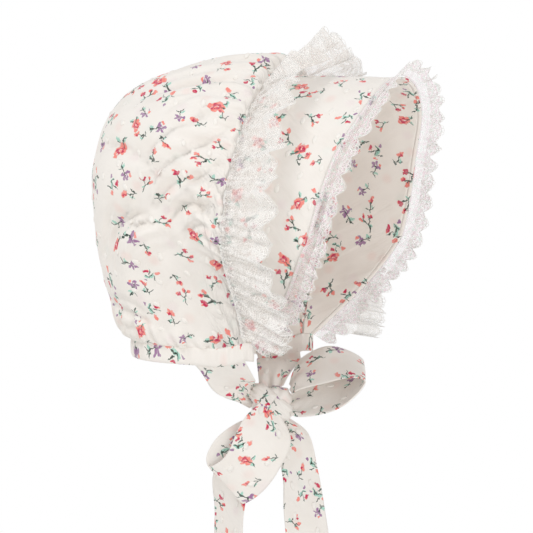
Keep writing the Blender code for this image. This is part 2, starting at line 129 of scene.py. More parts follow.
studio = {
    "floorDrop": 0.050,  # below the tails
    "floorSize": 6.0,
    "floorColour": "F7F6F4",
    "skyStrength": 0.70,
    "exposure": 0.0,
    "lights": (  # name, watts, size, then its place from the target: to the camera, to its right, up
        ("key", 6.6, 0.55, 0.7, -0.9, 1.2),
        ("fill", 5.5, 0.8, 1.2, 0.7, -0.1),
    ),
}


def addLight(name, place, power, size):
    data = bpy.data.lights.new(name, "AREA")
    data.energy = power
    data.size = size
    light = bpy.data.objects.new(name, data)
    light.location = place
    light.rotation_mode = "QUATERNION"
    light.rotation_quaternion = (place - view["target"]).to_track_quat("Z", "Y")
    bpy.context.scene.collection.objects.link(light)


def addStudio():
    scene = bpy.context.scene
    scene.view_settings.view_transform = "Standard"
    scene.view_settings.exposure = studio["exposure"]
    world = bpy.data.worlds.new("studio")
    world.use_nodes = True
    tree = world.node_tree
    sky = tree.nodes["Background"]
    sky.inputs["Strength"].default_value = studio["skyStrength"]
    sky.inputs["Color"].default_value = (1.0, 1.0, 1.0, 1.0)
    seen = addNode(tree, "Background", {"Color": (1.0, 1.0, 1.0, 1.0), "Strength": 1.0})
    ray = addNode(tree, "LightPath")  # the backdrop is seen white, brighter than it lights
    mix = addNode(tree, "MixShader", {0: ray.outputs["Is Camera Ray"], 1: sky, 2: seen})
    tree.links.new(mix.outputs[0], tree.nodes["World Output"].inputs["Surface"])
    scene.world = world

    bm = bmesh.new()
    bmesh.ops.create_grid(bm, x_segments=8, y_segments=8, size=studio["floorSize"] / 2)
    bmesh.ops.translate(bm, verts=bm.verts, vec=(0.0, 0.0, cadLow.z - studio["floorDrop"]))
    mesh = bpy.data.meshes.new("floor")
    bm.to_mesh(mesh)
    bm.free()
    floor = bpy.data.objects.new("floor", mesh)
    scene.collection.objects.link(floor)
    made, tree, shader = newMaterial("matt painted board", studio["floorColour"], 0.9)  # no gloss
    white = addNode(tree, "Emission", {"Color": (1.0, 1.0, 1.0, 1.0), "Strength": 1.0})
    ray = addNode(tree, "LightPath")  # the sweep reads pure white, as in a lit white studio
    mix = addNode(tree, "MixShader", {0: ray.outputs["Is Camera Ray"], 1: shader, 2: white})
    tree.links.new(mix.outputs[0], tree.nodes["Material Output"].inputs["Surface"])
    mesh.materials.append(made)

    for name, power, size, near, right, up in studio["lights"]:
        place = view["target"] + back * near + lookRight * right + lookUp * up
        addLight(name, place, power, size)


addStudio()
print("camera, floor and light set")


# ---- forms shared with the CAD source

gap = 0.0003

seam = {
    "width": 0.124,
    "footWidth": 0.072,
    "height": 0.143,
    "widestDrop": 0.084,
    "setBack": 0.009,
    "widestAt": 0.56,
}

crown = {
    "depth": 0.107,
    "width": 0.140,
    "height": 0.147,
    "puff": 0.011,
    "rise": 0.455,
    "neckWidth": 0.088,
    "neckSetBack": 0.026,
    "sections": (
        ("place", "back", "puff", "drop", "seam", "full", "neck"),
        (0.00, 0.000, 0.0, 0.000, 1.0, 0.00, 0.0),
        (0.05, 0.037, 0.9, 0.000, 0.6, 0.40, 0.0),
        (0.15, 0.247, 1.0, 0.000, 0.1, 0.90, 0.0),
        (0.30, 0.560, 0.5, 0.005, 0.0, 1.00, 0.0),
        (0.45, 0.853, 0.0, 0.055, 0.0, 0.97, 0.0),
        (0.60, 0.998, 0.0, 0.245, 0.0, 0.93, 0.0),
        (0.75, 1.000, 0.0, 0.530, 0.0, 0.86, 0.0),
        (0.90, 0.930, 0.0, 0.820, 0.0, 0.40, 0.6),
        (0.96, 0.880, 0.0, 0.925, 0.0, 0.20, 0.8),
        (1.00, 0.820, 0.0, 0.972, 0.0, 0.00, 1.0),
    ),
    "foldDepth": 0.0048,
    "foldReach": 0.0080,
    "folds": (  # from side and place, to side and place, depth, reach
        (-0.32, 0.02, -0.45, 0.20, -0.8, 0.9),
        (-0.41, 0.02, -0.60, 0.30, -0.9, 1.0),
        (-0.45, 0.06, -0.64, 0.36, 0.7, 0.9),
        (-0.50, 0.02, -0.68, 0.42, -1.0, 1.0),
        (-0.61, 0.40, -0.47, 0.72, -1.0, 1.3),
        (-0.66, 0.36, -0.56, 0.74, 0.6, 1.1),
        (-0.29, 0.53, -0.48, 0.32, -0.5, 1.4),
        (-0.70, 0.88, -0.25, 0.90, -0.6, 1.0),
        (-0.18, 0.03, -0.22, 0.36, -0.7, 1.0),
        (0.04, 0.03, 0.02, 0.30, -0.6, 0.9),
        (0.20, 0.03, 0.26, 0.40, -0.7, 1.0),
        (0.36, 0.02, 0.52, 0.30, -0.9, 1.0),
        (0.48, 0.02, 0.66, 0.42, -1.0, 1.1),
        (0.42, 0.05, 0.60, 0.36, 0.7, 0.9),
        (0.62, 0.44, 0.44, 0.74, -0.9, 1.3),
        (0.25, 0.90, 0.70, 0.88, -0.6, 1.0),
    ),
    "gatherDepth": 0.0011,
    "gatherSpan": 0.07,
    "gathers": ((0.09, 13), (0.93, 9)),  # place and how many on each side, at the seam and at the neck
    "seamFade": 0.11,
    "neckFade": 0.05,
    "footFade": 0.08,
}

brim = {
    "edgeWidth": 0.123,
    "edgeFootWidth": 0.076,
    "topDrop": 0.0024,
    "widestDrop": 0.088,
    "reach": 0.0652,
    "sections": (
        ("side", "reach"),
        (0.000, 1.00),
        (0.125, 0.99),
        (0.250, 0.92),
        (0.375, 0.78),
        (0.500, 0.67),
        (0.625, 0.54),
        (0.750, 0.39),
        (0.875, 0.19),
        (1.000, -0.06),
    ),
}

forward = Vector((0.0, -1.0, 0.0))
down = Vector((0.0, 0.0, -1.0))
wearersRight = Vector((-1.0, 0.0, 0.0))


# Value of one column of a table at a place, on a smooth curve through the rows
def tableValue(table, column, place):
    index = table[0].index(column)
    rows = table[1:]
    place = min(max(place, rows[0][0]), rows[-1][0])
    after = max(1, next(i for i, row in enumerate(rows) if row[0] >= place))

    def slope(i):
        before, behind = max(i - 1, 0), min(i + 1, len(rows) - 1)
        return (rows[behind][index] - rows[before][index]) / (rows[behind][0] - rows[before][0])

    low, high = rows[after - 1], rows[after]
    span = high[0] - low[0]
    k = (place - low[0]) / span
    value = (2 * k**3 - 3 * k**2 + 1) * low[index] + (3 * k**2 - 2 * k**3) * high[index]
    return value + (k**3 - 2 * k**2 + k) * span * slope(after - 1) + (k**3 - k**2) * span * slope(after)


def ease(k):
    k = min(max(k, 0.0), 1.0)
    return k * k * (3 - 2 * k)


# Arch over the head: side runs from -1 at the wearer's right foot to 1 at the left
def arch(side, halfWidth, halfFoot, rise):
    reach = abs(side)
    if reach <= seam["widestAt"]:
        angle = math.radians(90 * reach / seam["widestAt"])
        across = halfWidth * math.sin(angle)
        height = 1 - rise + rise * math.cos(angle)
        turned = 1 - math.cos(angle)
    else:
        k = (reach - seam["widestAt"]) / (1 - seam["widestAt"])
        across = halfWidth + (halfFoot - halfWidth) * ease(k)
        height = (1 - rise) * (1 - k)
        turned = 1.0
    return math.copysign(across, side), height, turned


def seamPoint(side):
    rise = seam["widestDrop"] / seam["height"]
    across, height, turned = arch(side, seam["width"] / 2, seam["footWidth"] / 2, rise)
    return Vector((across, seam["setBack"] * turned, -seam["height"] * (1 - height)))


def edgePoint(side):
    fall = seam["height"] - brim["topDrop"]
    rise = (brim["widestDrop"] - brim["topDrop"]) / fall
    across, height = arch(side, brim["edgeWidth"] / 2, brim["edgeFootWidth"] / 2, rise)[:2]
    reach = brim["reach"] * tableValue(brim["sections"], "reach", abs(side))
    return Vector((across, -reach, -seam["height"] + fall * height))


def crownBase(side, place):
    values = {name: tableValue(crown["sections"], name, place) for name in crown["sections"][0][1:]}
    width = values["seam"] * seam["width"] + values["full"] * crown["width"]
    width += values["neck"] * crown["neckWidth"]
    seamRise = seam["widestDrop"] / seam["height"]
    rise = seamRise + (crown["rise"] - seamRise) * ease(place / 0.3)
    across, height, turned = arch(side, width / 2, seam["footWidth"] / 2, rise)
    behind = crown["depth"] * values["back"]
    top = crown["puff"] * values["puff"] - crown["height"] * values["drop"]
    hem = -(seam["height"] + (crown["height"] - seam["height"]) * place)
    foot = crown["neckSetBack"] * place
    y = foot + (behind - foot) * height + seam["setBack"] * turned * (1 - place) ** 2
    return Vector((across, y + gap / 2, hem + (top - hem) * height))


def crownNormal(side, place):
    step = 0.004
    along = crownBase(min(side + step, 1), place) - crownBase(max(side - step, -1), place)
    behind = crownBase(side, min(place + step, 1)) - crownBase(side, max(place - step, 0))
    return along.cross(behind).normalized()


# Lower border of brim foot and crown, from the wearer's right front corner round the neck
def hemPoint(t):
    feet = 0.16
    if t < feet:
        return hemSide(-1, t / feet)
    if t > 1 - feet:
        return hemSide(1, (1 - t) / feet)
    return crownBase(-1 + 2 * (t - feet) / (1 - 2 * feet), 1.0)


def hemSide(side, k):
    brimShare = 0.25
    if k < brimShare:
        return edgePoint(side).lerp(crownBase(side, 0.0), k / brimShare)
    return crownBase(side, (k - brimShare) / (1 - brimShare))


def hemOutward(t):
    run = hemPoint(min(t + 0.01, 1)) - hemPoint(max(t - 0.01, 0))
    return Vector((-run.y, run.x, 0.0)).normalized()


# Outward direction of an arch-shaped curve, square to its run
def outward(curve, side, step):
    run = curve(min(side + step, 1)) - curve(max(side - step, -1))
    return Vector((-run.z, 0.0, run.x)).normalized()


# ---- making cloth

# How the cloth lies flat: a coarse grid of its smooth form is unwrapped with the least stretch,
# scaled to real metres and turned upright. The answer gives the flat place of any (u, v).
def layFlat(place, columns, rows):
    bm = bmesh.new()
    bmesh.ops.create_grid(bm, x_segments=columns, y_segments=rows, size=0.5)
    for vert in bm.verts:
        vert.co = place(round((vert.co.x + 0.5) * columns) / columns, round((vert.co.y + 0.5) * rows) / rows)
    bm.loops.layers.uv.new("flat")
    area = sum(face.calc_area() for face in bm.faces)
    rough = finishMesh("rough", bm)
    bpy.context.view_layer.objects.active = rough
    rough.select_set(True)
    bpy.ops.object.mode_set(mode="EDIT")
    bpy.ops.mesh.select_all(action="SELECT")
    bpy.ops.uv.unwrap(method="MINIMUM_STRETCH", iterations=20)
    bpy.ops.object.mode_set(mode="OBJECT")
    flat, flatArea = {}, 0.0
    for face in rough.data.polygons:
        corners = [rough.data.uv_layers["flat"].data[loop].uv.copy() for loop in face.loop_indices]
        for vert, corner in zip(face.vertices, corners):
            flat[vert % (columns + 1), vert // (columns + 1)] = corner
        flatArea += abs((corners[2] - corners[0]).cross(corners[3] - corners[1])) / 2
    bpy.data.objects.remove(rough)
    start = flat[columns // 2, 0]
    run = flat[columns // 2, 1] - start
    scale = math.sqrt(area / flatArea)
    turn = Matrix.Rotation(math.pi / 2 - math.atan2(run.y, run.x), 2)
    flat = {key: turn @ (corner - start) * scale for key, corner in flat.items()}

    def spot(u, v):
        i, j = min(int(u * columns), columns - 1), min(int(v * rows), rows - 1)
        a, b = u * columns - i, v * rows - j
        return flat[i, j].lerp(flat[i + 1, j], a).lerp(flat[i, j + 1].lerp(flat[i + 1, j + 1], a), b)

    return spot


# A grid moved into the shape that place(u, v) gives. The cloth map is the cloth laid flat, in metres,
# and the run map is the way along the rows from the middle column, and down from the first row.
def clothGrid(name, columns, rows, place, flat):
    bm = bmesh.new()
    bmesh.ops.create_grid(bm, x_segments=columns, y_segments=rows, size=0.5)
    spots, index = {}, {}
    for vert in bm.verts:
        i, j = round((vert.co.x + 0.5) * columns), round((vert.co.y + 0.5) * rows)
        spots[i, j] = place(i / columns, j / rows)
        index[vert] = (i, j)
    for vert in bm.verts:
        vert.co = spots[index[vert]]
    across, along = {}, {}
    middle = columns // 2
    for j in range(rows + 1):
        across[middle, j] = 0.0
        for i in range(middle + 1, columns + 1):
            across[i, j] = across[i - 1, j] + (spots[i, j] - spots[i - 1, j]).length
        for i in range(middle - 1, -1, -1):
            across[i, j] = across[i + 1, j] - (spots[i, j] - spots[i + 1, j]).length
    for i in range(columns + 1):
        along[i, 0] = 0.0
        for j in range(1, rows + 1):
            along[i, j] = along[i, j - 1] + (spots[i, j] - spots[i, j - 1]).length
    clothMap = bm.loops.layers.uv.new("clothMap")
    runMap = bm.loops.layers.uv.new("runMap")
    for face in bm.faces:
        face.smooth = True
        for loop in face.loops:
            i, j = index[loop.vert]
            loop[clothMap].uv = flat(i / columns, j / rows)
            loop[runMap].uv = (across[i, j], along[i, j])
    return finishMesh(name, bm)


# Length of a surface's row at v, measured from point to point
def rowLength(surface, steps, v):
    run = [surface(i / steps, v) for i in range(steps + 1)]
    return sum((after - before).length for before, after in zip(run, run[1:]))


def finishMesh(name, bm):
    mesh = bpy.data.meshes.new(name)
    bm.to_mesh(mesh)
    bm.free()
    piece = bpy.data.objects.new(name, mesh)
    bpy.context.scene.collection.objects.link(piece)
    return piece


# Gives a cloth its thickness: the outer look on one side, the inner look on the other
def thicken(piece, wall, offset, looks):
    for look in looks:
        piece.data.materials.append(look)
    modifier = piece.modifiers.new("wall", "SOLIDIFY")
    modifier.thickness = wall
    modifier.offset = offset
    modifier.use_even_offset = False
    modifier.material_offset = len(looks) - 1
    modifier.material_offset_rim = 0


def settle(piece, node):
    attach(piece, "root")
    if node:
        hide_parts(node)


# ---- printed cotton

# Each mark: colour, x, y, half length, half width, turn. Millimetres and degrees.
motifs = {
    "rose": (
        ("mint", 2.9, -2.1, 1.5, 0.7, -40), ("mint", 3.7, 0.9, 1.2, 0.55, 50),
        ("coral", 0.1, 0.4, 2.3, 1.7, 10), ("coral", 1.5, -0.9, 1.6, 1.2, 50),
        ("coral", -1.4, 1.2, 1.4, 1.0, -30), ("coral", -0.7, -1.3, 1.3, 0.8, 15),
        ("paper", 0.5, 0.2, 0.9, 0.25, 70), ("paper", -0.9, 0.5, 0.8, 0.22, -20),
        ("crimson", -0.3, 1.0, 1.1, 0.50, 35), ("crimson", 0.9, 0.6, 0.9, 0.42, -50),
        ("crimson", 0.1, -0.7, 1.1, 0.38, 5), ("crimson", -1.3, 0.0, 0.6, 0.42, 80),
        ("charcoal", 2.7, -1.3, 1.8, 0.27, -32), ("charcoal", 3.6, -2.6, 1.1, 0.24, -75),
        ("charcoal", 3.2, 1.0, 1.2, 0.24, 45),
    ),
    "violet": (
        ("mint", -2.5, -1.9, 1.2, 0.55, -20), ("mauve", 0.0, 0.1, 1.2, 0.8, 15),
        ("mauve", 1.2, 1.0, 1.0, 0.6, 45), ("mauve", -1.1, 0.9, 0.9, 0.6, -40),
        ("mauve", 0.4, -1.2, 1.0, 0.6, 80), ("mauve", 1.6, -0.4, 0.8, 0.45, -20),
        ("coral", -0.4, 1.9, 0.8, 0.5, 20), ("paper", 0.4, 0.3, 0.6, 0.22, 40),
        ("charcoal", 0.0, -0.2, 0.8, 0.20, 30), ("charcoal", -1.5, -1.8, 1.9, 0.25, 50),
        ("charcoal", -2.8, -2.9, 1.2, 0.22, 5), ("charcoal", -1.2, -3.0, 0.9, 0.22, 100),
    ),
    "buds": (
        ("mint", -0.8, -1.5, 1.0, 0.5, 30), ("mint", 1.4, 1.1, 0.9, 0.45, 40),
        ("coral", 2.2, 2.0, 1.2, 0.7, 50), ("coral", 0.4, 3.1, 1.0, 0.6, 100),
        ("crimson", 0.7, 3.0, 0.5, 0.35, 90), ("crimson", -2.2, 1.5, 1.0, 0.7, 20),
        ("crimson", -1.6, 2.5, 0.5, 0.4, 0), ("coral", -2.9, 2.2, 0.6, 0.45, 0),
        ("charcoal", 0.4, 0.2, 2.4, 0.26, 55), ("charcoal", -1.1, -0.1, 1.6, 0.24, 130),
        ("charcoal", 0.8, 1.8, 1.1, 0.22, 80), ("charcoal", -0.5, -2.6, 1.6, 0.24, 95),
    ),
    "leaves": (
        ("mint", 0.1, 0.2, 1.5, 0.7, 35), ("mint", 1.9, 0.9, 1.2, 0.5, -30),
        ("coral", -2.7, -1.3, 1.3, 0.8, 40), ("crimson", 2.3, -1.8, 1.2, 0.7, 10),
        ("coral", 1.8, -2.3, 0.7, 0.5, 70), ("mauve", 2.9, 2.4, 0.8, 0.5, 30),
        ("charcoal", 0.2, 0.0, 1.9, 0.24, 40), ("charcoal", 1.8, 0.8, 1.4, 0.22, -25),
        ("charcoal", -1.3, 1.2, 1.4, 0.22, 95), ("charcoal", 0.6, -1.9, 1.7, 0.24, 80),
    ),
    "sprig": (
        ("coral", 0.2, 2.2, 1.3, 0.8, 100), ("coral", 0.9, 1.3, 0.7, 0.5, 40),
        ("crimson", 0.0, 2.0, 0.7, 0.4, 60), ("mint", -0.9, -0.6, 0.9, 0.4, 60),
        ("charcoal", 0.1, -0.6, 2.2, 0.24, 85), ("charcoal", -0.9, -1.0, 1.2, 0.22, 140),
        ("charcoal", 1.0, -1.9, 1.1, 0.22, 20),
    ),
}

printed = {
    "spacing": 0.0148,
    "scatter": 0.80,
    "scale": (600.0, 840.0),  # motif millimetres in a metre of cloth, from the largest to the smallest
    "wobble": 0.8,  # millimetres that the brush strays
    "wobbleScale": 480.0,
    "softEdge": 0.12,
    "thinnest": 0.80,  # the palest wash of an ink
    "inks": {  # laid in this order
        "mint": "A9D8C8",
        "coral": "F88F84",
        "mauve": "A47AA2",
        "paper": "F1EDE8",
        "crimson": "CF3259",
        "charcoal": "3E4C44",
    },
}


# Node group that strews the motifs over the cloth: gives the ink's colour and where there is ink
def makePrint():
    group = bpy.data.node_groups.new("flower print", "ShaderNodeTree")
    group.interface.new_socket(name="Cloth", in_out="INPUT", socket_type="NodeSocketVector")
    group.interface.new_socket(name="Ink", in_out="OUTPUT", socket_type="NodeSocketColor")
    group.interface.new_socket(name="Cover", in_out="OUTPUT", socket_type="NodeSocketFloat")
    start = group.nodes.new("NodeGroupInput")
    cell = addNode(
        group, "TexVoronoi",
        {
            "Vector": start.outputs["Cloth"], "Scale": 1 / printed["spacing"],
            "Randomness": printed["scatter"],
        },
        voronoi_dimensions="2D",
    )
    chance = addNode(group, "SeparateColor", {"Color": cell.outputs["Color"]})
    local = addNode(
        group, "VectorMath", {0: start.outputs["Cloth"], 1: cell.outputs["Position"]}, operation="SUBTRACT",
    )
    large, small = printed["scale"]
    size = addNode(
        group, "Math", {0: chance.outputs["Blue"], 1: small - large, 2: large}, operation="MULTIPLY_ADD",
    )
    inMillimetres = addNode(group, "VectorMath", {0: local, "Scale": size}, operation="SCALE")
    turn = addNode(group, "Math", {0: chance.outputs["Green"], 1: 2 * math.pi}, operation="MULTIPLY")
    turned = addNode(
        group, "VectorRotate", {"Vector": inMillimetres, "Angle": turn}, rotation_type="Z_AXIS",
    )
    stray = addNode(
        group, "TexNoise",
        {"Vector": start.outputs["Cloth"], "Scale": printed["wobbleScale"], "Detail": 1.5},
        noise_dimensions="2D",
    )
    level = addNode(
        group, "VectorMath",
        {
            0: stray.outputs["Color"], 1: (printed["wobble"] * 2, printed["wobble"] * 2, 0.0),
            2: (-printed["wobble"], -printed["wobble"], 0.0),
        },
        operation="MULTIPLY_ADD",
    )
    brushed = addNode(group, "VectorMath", {0: turned, 1: level})
    kind = addNode(group, "Math", {0: chance.outputs["Red"], 1: len(motifs)}, operation="MULTIPLY")

    nearest = {}
    for number, marks in enumerate(motifs.values()):
        chosen = addNode(group, "Math", {0: kind, 1: number + 0.5, 2: 0.5}, operation="COMPARE")
        away = addNode(group, "Math", {0: chosen, 1: -9.0, 2: 9.0}, operation="MULTIPLY_ADD")
        fields = {}
        for ink, x, y, long, wide, angle in marks:
            mark = addNode(
                group, "Mapping",
                {
                    "Vector": brushed, "Location": (x, y, 0.0), "Rotation": (0.0, 0.0, math.radians(angle)),
                    "Scale": (long, wide, 1.0),
                },
                vector_type="TEXTURE",
            )
            reach = addNode(group, "VectorMath", {0: mark}, operation="LENGTH")
            field = reach.outputs["Value"]
            if ink in fields:
                field = addNode(group, "Math", {0: fields[ink], 1: field}, operation="MINIMUM").outputs[0]
            fields[ink] = field
        for ink, field in fields.items():
            field = addNode(group, "Math", {0: field, 1: away}).outputs[0]
            if ink in nearest:
                field = addNode(group, "Math", {0: nearest[ink], 1: field}, operation="MINIMUM").outputs[0]
            nearest[ink] = field

    # a Mix node's inputs 6 and 7 are its two colours
    colour, cover = None, None
    for ink, code in printed["inks"].items():
        mask = addNode(
            group, "MapRange",
            {
                "Value": nearest[ink], "From Min": 1 + printed["softEdge"],
                "From Max": 1 - printed["softEdge"],
            },
        ).outputs["Result"]
        layer = addNode(group, "Mix", {0: mask, 6: hexColour(code), 7: hexColour(code)}, data_type="RGBA")
        if colour:
            group.links.new(colour, layer.inputs[6])
            mask = addNode(group, "Math", {0: cover, 1: mask}, operation="MAXIMUM").outputs[0]
        colour, cover = layer.outputs[2], mask
    wash = addNode(
        group, "MapRange",
        {"Value": stray, "From Min": 0.32, "From Max": 0.58, "To Min": printed["thinnest"]},
    )
    cover = addNode(group, "Math", {0: cover, 1: wash}, operation="MULTIPLY").outputs[0]
    end = group.nodes.new("NodeGroupOutput")
    group.links.new(colour, end.inputs["Ink"])
    group.links.new(cover, end.inputs["Cover"])
    return group


flowerPrint = makePrint()

cotton = {
    "ground": "F4EFE9",
    # the lining's colour is painted light: paler than the outside, standing in for light that shines through
    # the thin cloth into the shaded inside
    "inside": "FBF5EE",
    "thread": 0.0005,  # drawn a little coarser than the real 0.25 mm, so that it shows
    "threadRise": 0.00006,
    "crumple": 0.010,
    "crumpleRise": 0.0013,
    "slant": 55.0,  # degrees that the creases lie from the run of the seam
    "drawnOut": 4.5,  # how much longer than wide the creases are
    "ghost": 0.13,  # how far the print behind shows through
    "ghostInks": ((0.0, "F4A59B"), (0.45, "E8C4D4"), (0.6, "CFE3DA"), (0.75, "F1B4AA")),
    "tint": "E6DDD3",  # a faint warm cast in patches
    "tintMost": 0.25,
}
stitch = {"inset": 0.0022, "width": 0.0007, "length": 0.0011, "depth": 0.0005}


# Fine woven cotton voile, printed: matt, with soft fuzz at grazing angles and a faint thread grain.
# Shift moves the print, so that no two pieces carry it in the same places.
def cottonMaterial(name, ground, shift, ink=1.0, stitchAt=None, gathers=None):
    made, tree, shader = newMaterial(name, ground, 0.86)
    shader.inputs["Sheen Weight"].default_value = 0.25
    shader.inputs["Sheen Roughness"].default_value = 0.45
    shader.inputs["Specular IOR Level"].default_value = 0.25
    cloth = addNode(tree, "UVMap", uv_map="clothMap").outputs["UV"]
    run = addNode(tree, "UVMap", uv_map="runMap").outputs["UV"]
    moved = addNode(tree, "Mapping", {"Vector": cloth, "Location": (*shift, 0.0)})
    flowers = addNode(tree, "Group", {"Cloth": moved}, node_tree=flowerPrint)

    # the other layer's print, dim and blurred
    ghostPlace = addNode(
        tree, "TexVoronoi", {"Vector": moved, "Scale": 1 / (printed["spacing"] * 1.25), "Randomness": 0.8},
        voronoi_dimensions="2D",
    )
    ghostFade = addNode(
        tree, "MapRange",
        {"Value": ghostPlace, "From Min": 0.24, "From Max": 0.04, "To Max": cotton["ghost"]},
        interpolation_type="SMOOTHSTEP",
    )
    ghostInk = addNode(tree, "ValToRGB", {"Fac": ghostPlace.outputs["Color"]})
    ghostInk.color_ramp.interpolation = "CONSTANT"
    for place, code in cotton["ghostInks"]:
        stop = ghostInk.color_ramp.elements[0] if place == 0.0 else ghostInk.color_ramp.elements.new(place)
        stop.color = hexColour(code)
    tint = addNode(tree, "TexNoise", {"Vector": cloth, "Scale": 60.0}, noise_dimensions="2D")
    tintFade = addNode(
        tree, "MapRange", {"Value": tint, "From Min": 0.45, "From Max": 0.8, "To Max": cotton["tintMost"]},
    )
    base = addNode(
        tree, "Mix", {0: tintFade, 6: hexColour(ground), 7: hexColour(cotton["tint"])}, data_type="RGBA",
    )
    ghosted = addNode(
        tree, "Mix", {0: ghostFade, 6: base, 7: ghostInk.outputs["Color"]}, data_type="RGBA",
    )
    strength = addNode(tree, "Math", {0: flowers.outputs["Cover"], 1: ink}, operation="MULTIPLY")
    inked = addNode(
        tree, "Mix", {0: strength, 6: ghosted, 7: flowers.outputs["Ink"]}, data_type="RGBA",
    )
    tree.links.new(inked.outputs[2], shader.inputs["Base Color"])

    # threads both ways, and the crumple of washed cotton
    height = None
    for stretch in ((1.0, 0.12), (0.12, 1.0)):
        scaled = addNode(
            tree, "Mapping",
            {"Vector": cloth, "Scale": (stretch[0] / cotton["thread"], stretch[1] / cotton["thread"], 1.0)},
        )
        threads = addNode(
            tree, "TexNoise", {"Vector": scaled, "Scale": 1.0, "Detail": 1.0}, noise_dimensions="2D",
        )
        rise = threads.outputs["Fac"]
        if height:
            rise = addNode(tree, "Math", {0: height, 1: rise}).outputs[0]
        height = rise
    threadBump = addNode(
        tree, "Bump", {"Height": height, "Strength": 0.6, "Distance": cotton["threadRise"]},
    )
    slanted = addNode(
        tree, "Mapping",
        {
            "Vector": cloth, "Rotation": (0.0, 0.0, math.radians(cotton["slant"])),
            "Scale": (cotton["drawnOut"], 1.0, 1.0),
        },
        vector_type="TEXTURE",
    )
    crumple = addNode(
        tree, "TexNoise",
        {"Vector": slanted, "Scale": 1 / cotton["crumple"], "Detail": 4.0, "Distortion": 0.6},
        noise_dimensions="2D",
    )
    bump = addNode(
        tree, "Bump",
        {"Height": crumple, "Normal": threadBump, "Strength": 0.65, "Distance": cotton["crumpleRise"]},
    )
    if stitchAt:
        bump = addStitches(tree, run, bump, stitchAt)
    if gathers:
        bump = addFineGathers(tree, run, bump, gathers)
    tree.links.new(bump.outputs["Normal"], shader.inputs["Normal"])
    return made


# A row of machine stitches pressed into the cloth at one distance from the map's first row
def addStitches(tree, run, bump, stitchAt):
    split = addNode(tree, "SeparateXYZ", {"Vector": run})
    near = addNode(tree, "Math", {0: split.outputs["Y"], 1: stitchAt}, operation="SUBTRACT")
    near = addNode(tree, "Math", {0: near}, operation="ABSOLUTE")
    line = addNode(
        tree, "MapRange", {"Value": near, "From Max": stitch["width"], "To Min": 1.0, "To Max": 0.0},
    )
    dash = addNode(tree, "Math", {0: split.outputs["X"], 1: stitch["length"]}, operation="PINGPONG")
    dash = addNode(
        tree, "MapRange", {"Value": dash, "From Min": 0.0001, "From Max": 0.0004, "To Min": 0.35},
    )
    pressed = addNode(tree, "Math", {0: line, 1: dash}, operation="MULTIPLY")
    return addNode(
        tree, "Bump",
        {"Height": pressed, "Normal": bump, "Strength": 0.8, "Distance": stitch["depth"]},
        invert=True,
    )


# Pleats too fine for the mesh, running out from the map's first row
def addFineGathers(tree, run, bump, gathers):
    scaled = addNode(
        tree, "Mapping", {"Vector": run, "Scale": (1 / gathers["pitch"], 1 / gathers["length"], 1.0)},
    )
    pleats = addNode(
        tree, "TexNoise", {"Vector": scaled, "Scale": 1.0, "Distortion": 0.3}, noise_dimensions="2D",
    )
    split = addNode(tree, "SeparateXYZ", {"Vector": run})
    fade = addNode(
        tree, "MapRange",
        {"Value": split.outputs["Y"], "From Max": gathers["length"], "To Min": 1.0, "To Max": 0.0},
    )
    rise = addNode(tree, "Math", {0: pleats, 1: fade}, operation="MULTIPLY")
    return addNode(
        tree, "Bump", {"Height": rise, "Normal": bump, "Strength": 0.9, "Distance": gathers["rise"]},
    )


crownGathers = {"pitch": 0.0042, "length": 0.030, "rise": 0.0022}
crownOuter = cottonMaterial("printed cotton voile, crown", cotton["ground"], (0.0, 0.0), gathers=crownGathers)
# the linings take the inside colour, painted paler as light let through the thin cloth
crownInner = cottonMaterial("printed cotton voile, crown lining", cotton["inside"], (0.31, 0.12), ink=0.85)
brimOuter = cottonMaterial(
    "printed cotton voile, brim", cotton["ground"], (0.173, 0.05), stitchAt=stitch["inset"],
)
brimInner = cottonMaterial(
    "printed cotton voile, brim lining", cotton["inside"], (0.62, 0.27), stitchAt=stitch["inset"],
)
bandCotton = cottonMaterial("printed cotton voile, neck band", cotton["ground"], (0.05, 0.33))
tieCotton = cottonMaterial("printed cotton voile, ties", cotton["ground"], (0.41, 0.21))
print("cotton materials made")


# ---- crown

crownLook = {
    "columns": 300,
    "rows": 116,
    "flatGrid": (48, 24),
    "wall": 0.0009,
    "creaseDepth": 0.0040,  # sharp line in the bottom of each fold
    "creaseReach": 0.0022,
    "besides": (  # smaller creases by each fold: shift in side and in place, share of the depth
        (0.045, 0.055, 0.8),
        (-0.05, -0.045, 0.65),
        (0.10, 0.10, 0.55),
    ),
    "tuck": 0.0005,  # how far the cloth turns in at the seam
    "pleats": 21,  # on each side of the top
    "pleatDepth": 0.0013,
    "pleatReach": 0.17,
    "pleatStray": 0.03,
    "neckPleats": 0.8,  # share of the seam's, in number and depth
    "neckReach": 0.07,
    "crumple": 0.00045,
}


# A tree of points along each fold, to measure how far a place on the crown lies from it
def foldTrees():
    made = []
    steps = 60
    for fold in crown["folds"]:
        tree = kdtree.KDTree(steps + 1)
        for i in range(steps + 1):
            k = i / steps
            tree.insert(crownBase(fold[0] + (fold[2] - fold[0]) * k, fold[1] + (fold[3] - fold[1]) * k), i)
        tree.balance()
        made.append((tree, fold[4], crown["foldReach"] * fold[5], steps))
    return made


# Smaller creases that lie beside each fold, as one tree of points with a depth for each
def creaseTree():
    spots = []
    steps = 48
    for fold in crown["folds"]:
        for side, drop, share in crownLook["besides"]:
            for i in range(steps + 1):
                k = 0.12 + 0.76 * i / steps
                bend = 0.02 * noise.noise(Vector((k * 3, side * 40, fold[0] * 9)))
                place = fold[1] + (fold[3] - fold[1]) * k + drop + bend
                if not 0.03 < place < 0.95:
                    continue
                spot = crownBase(fold[0] + (fold[2] - fold[0]) * k + side, place)
                spots.append((spot, fold[4] * share * math.sin(math.pi * i / steps)))
    tree = kdtree.KDTree(len(spots))
    for i, (spot, depth) in enumerate(spots):
        tree.insert(spot, i)
    tree.balance()
    return tree, [depth for spot, depth in spots]


crownFolds = foldTrees()
crownCreases, creaseDepths = creaseTree()


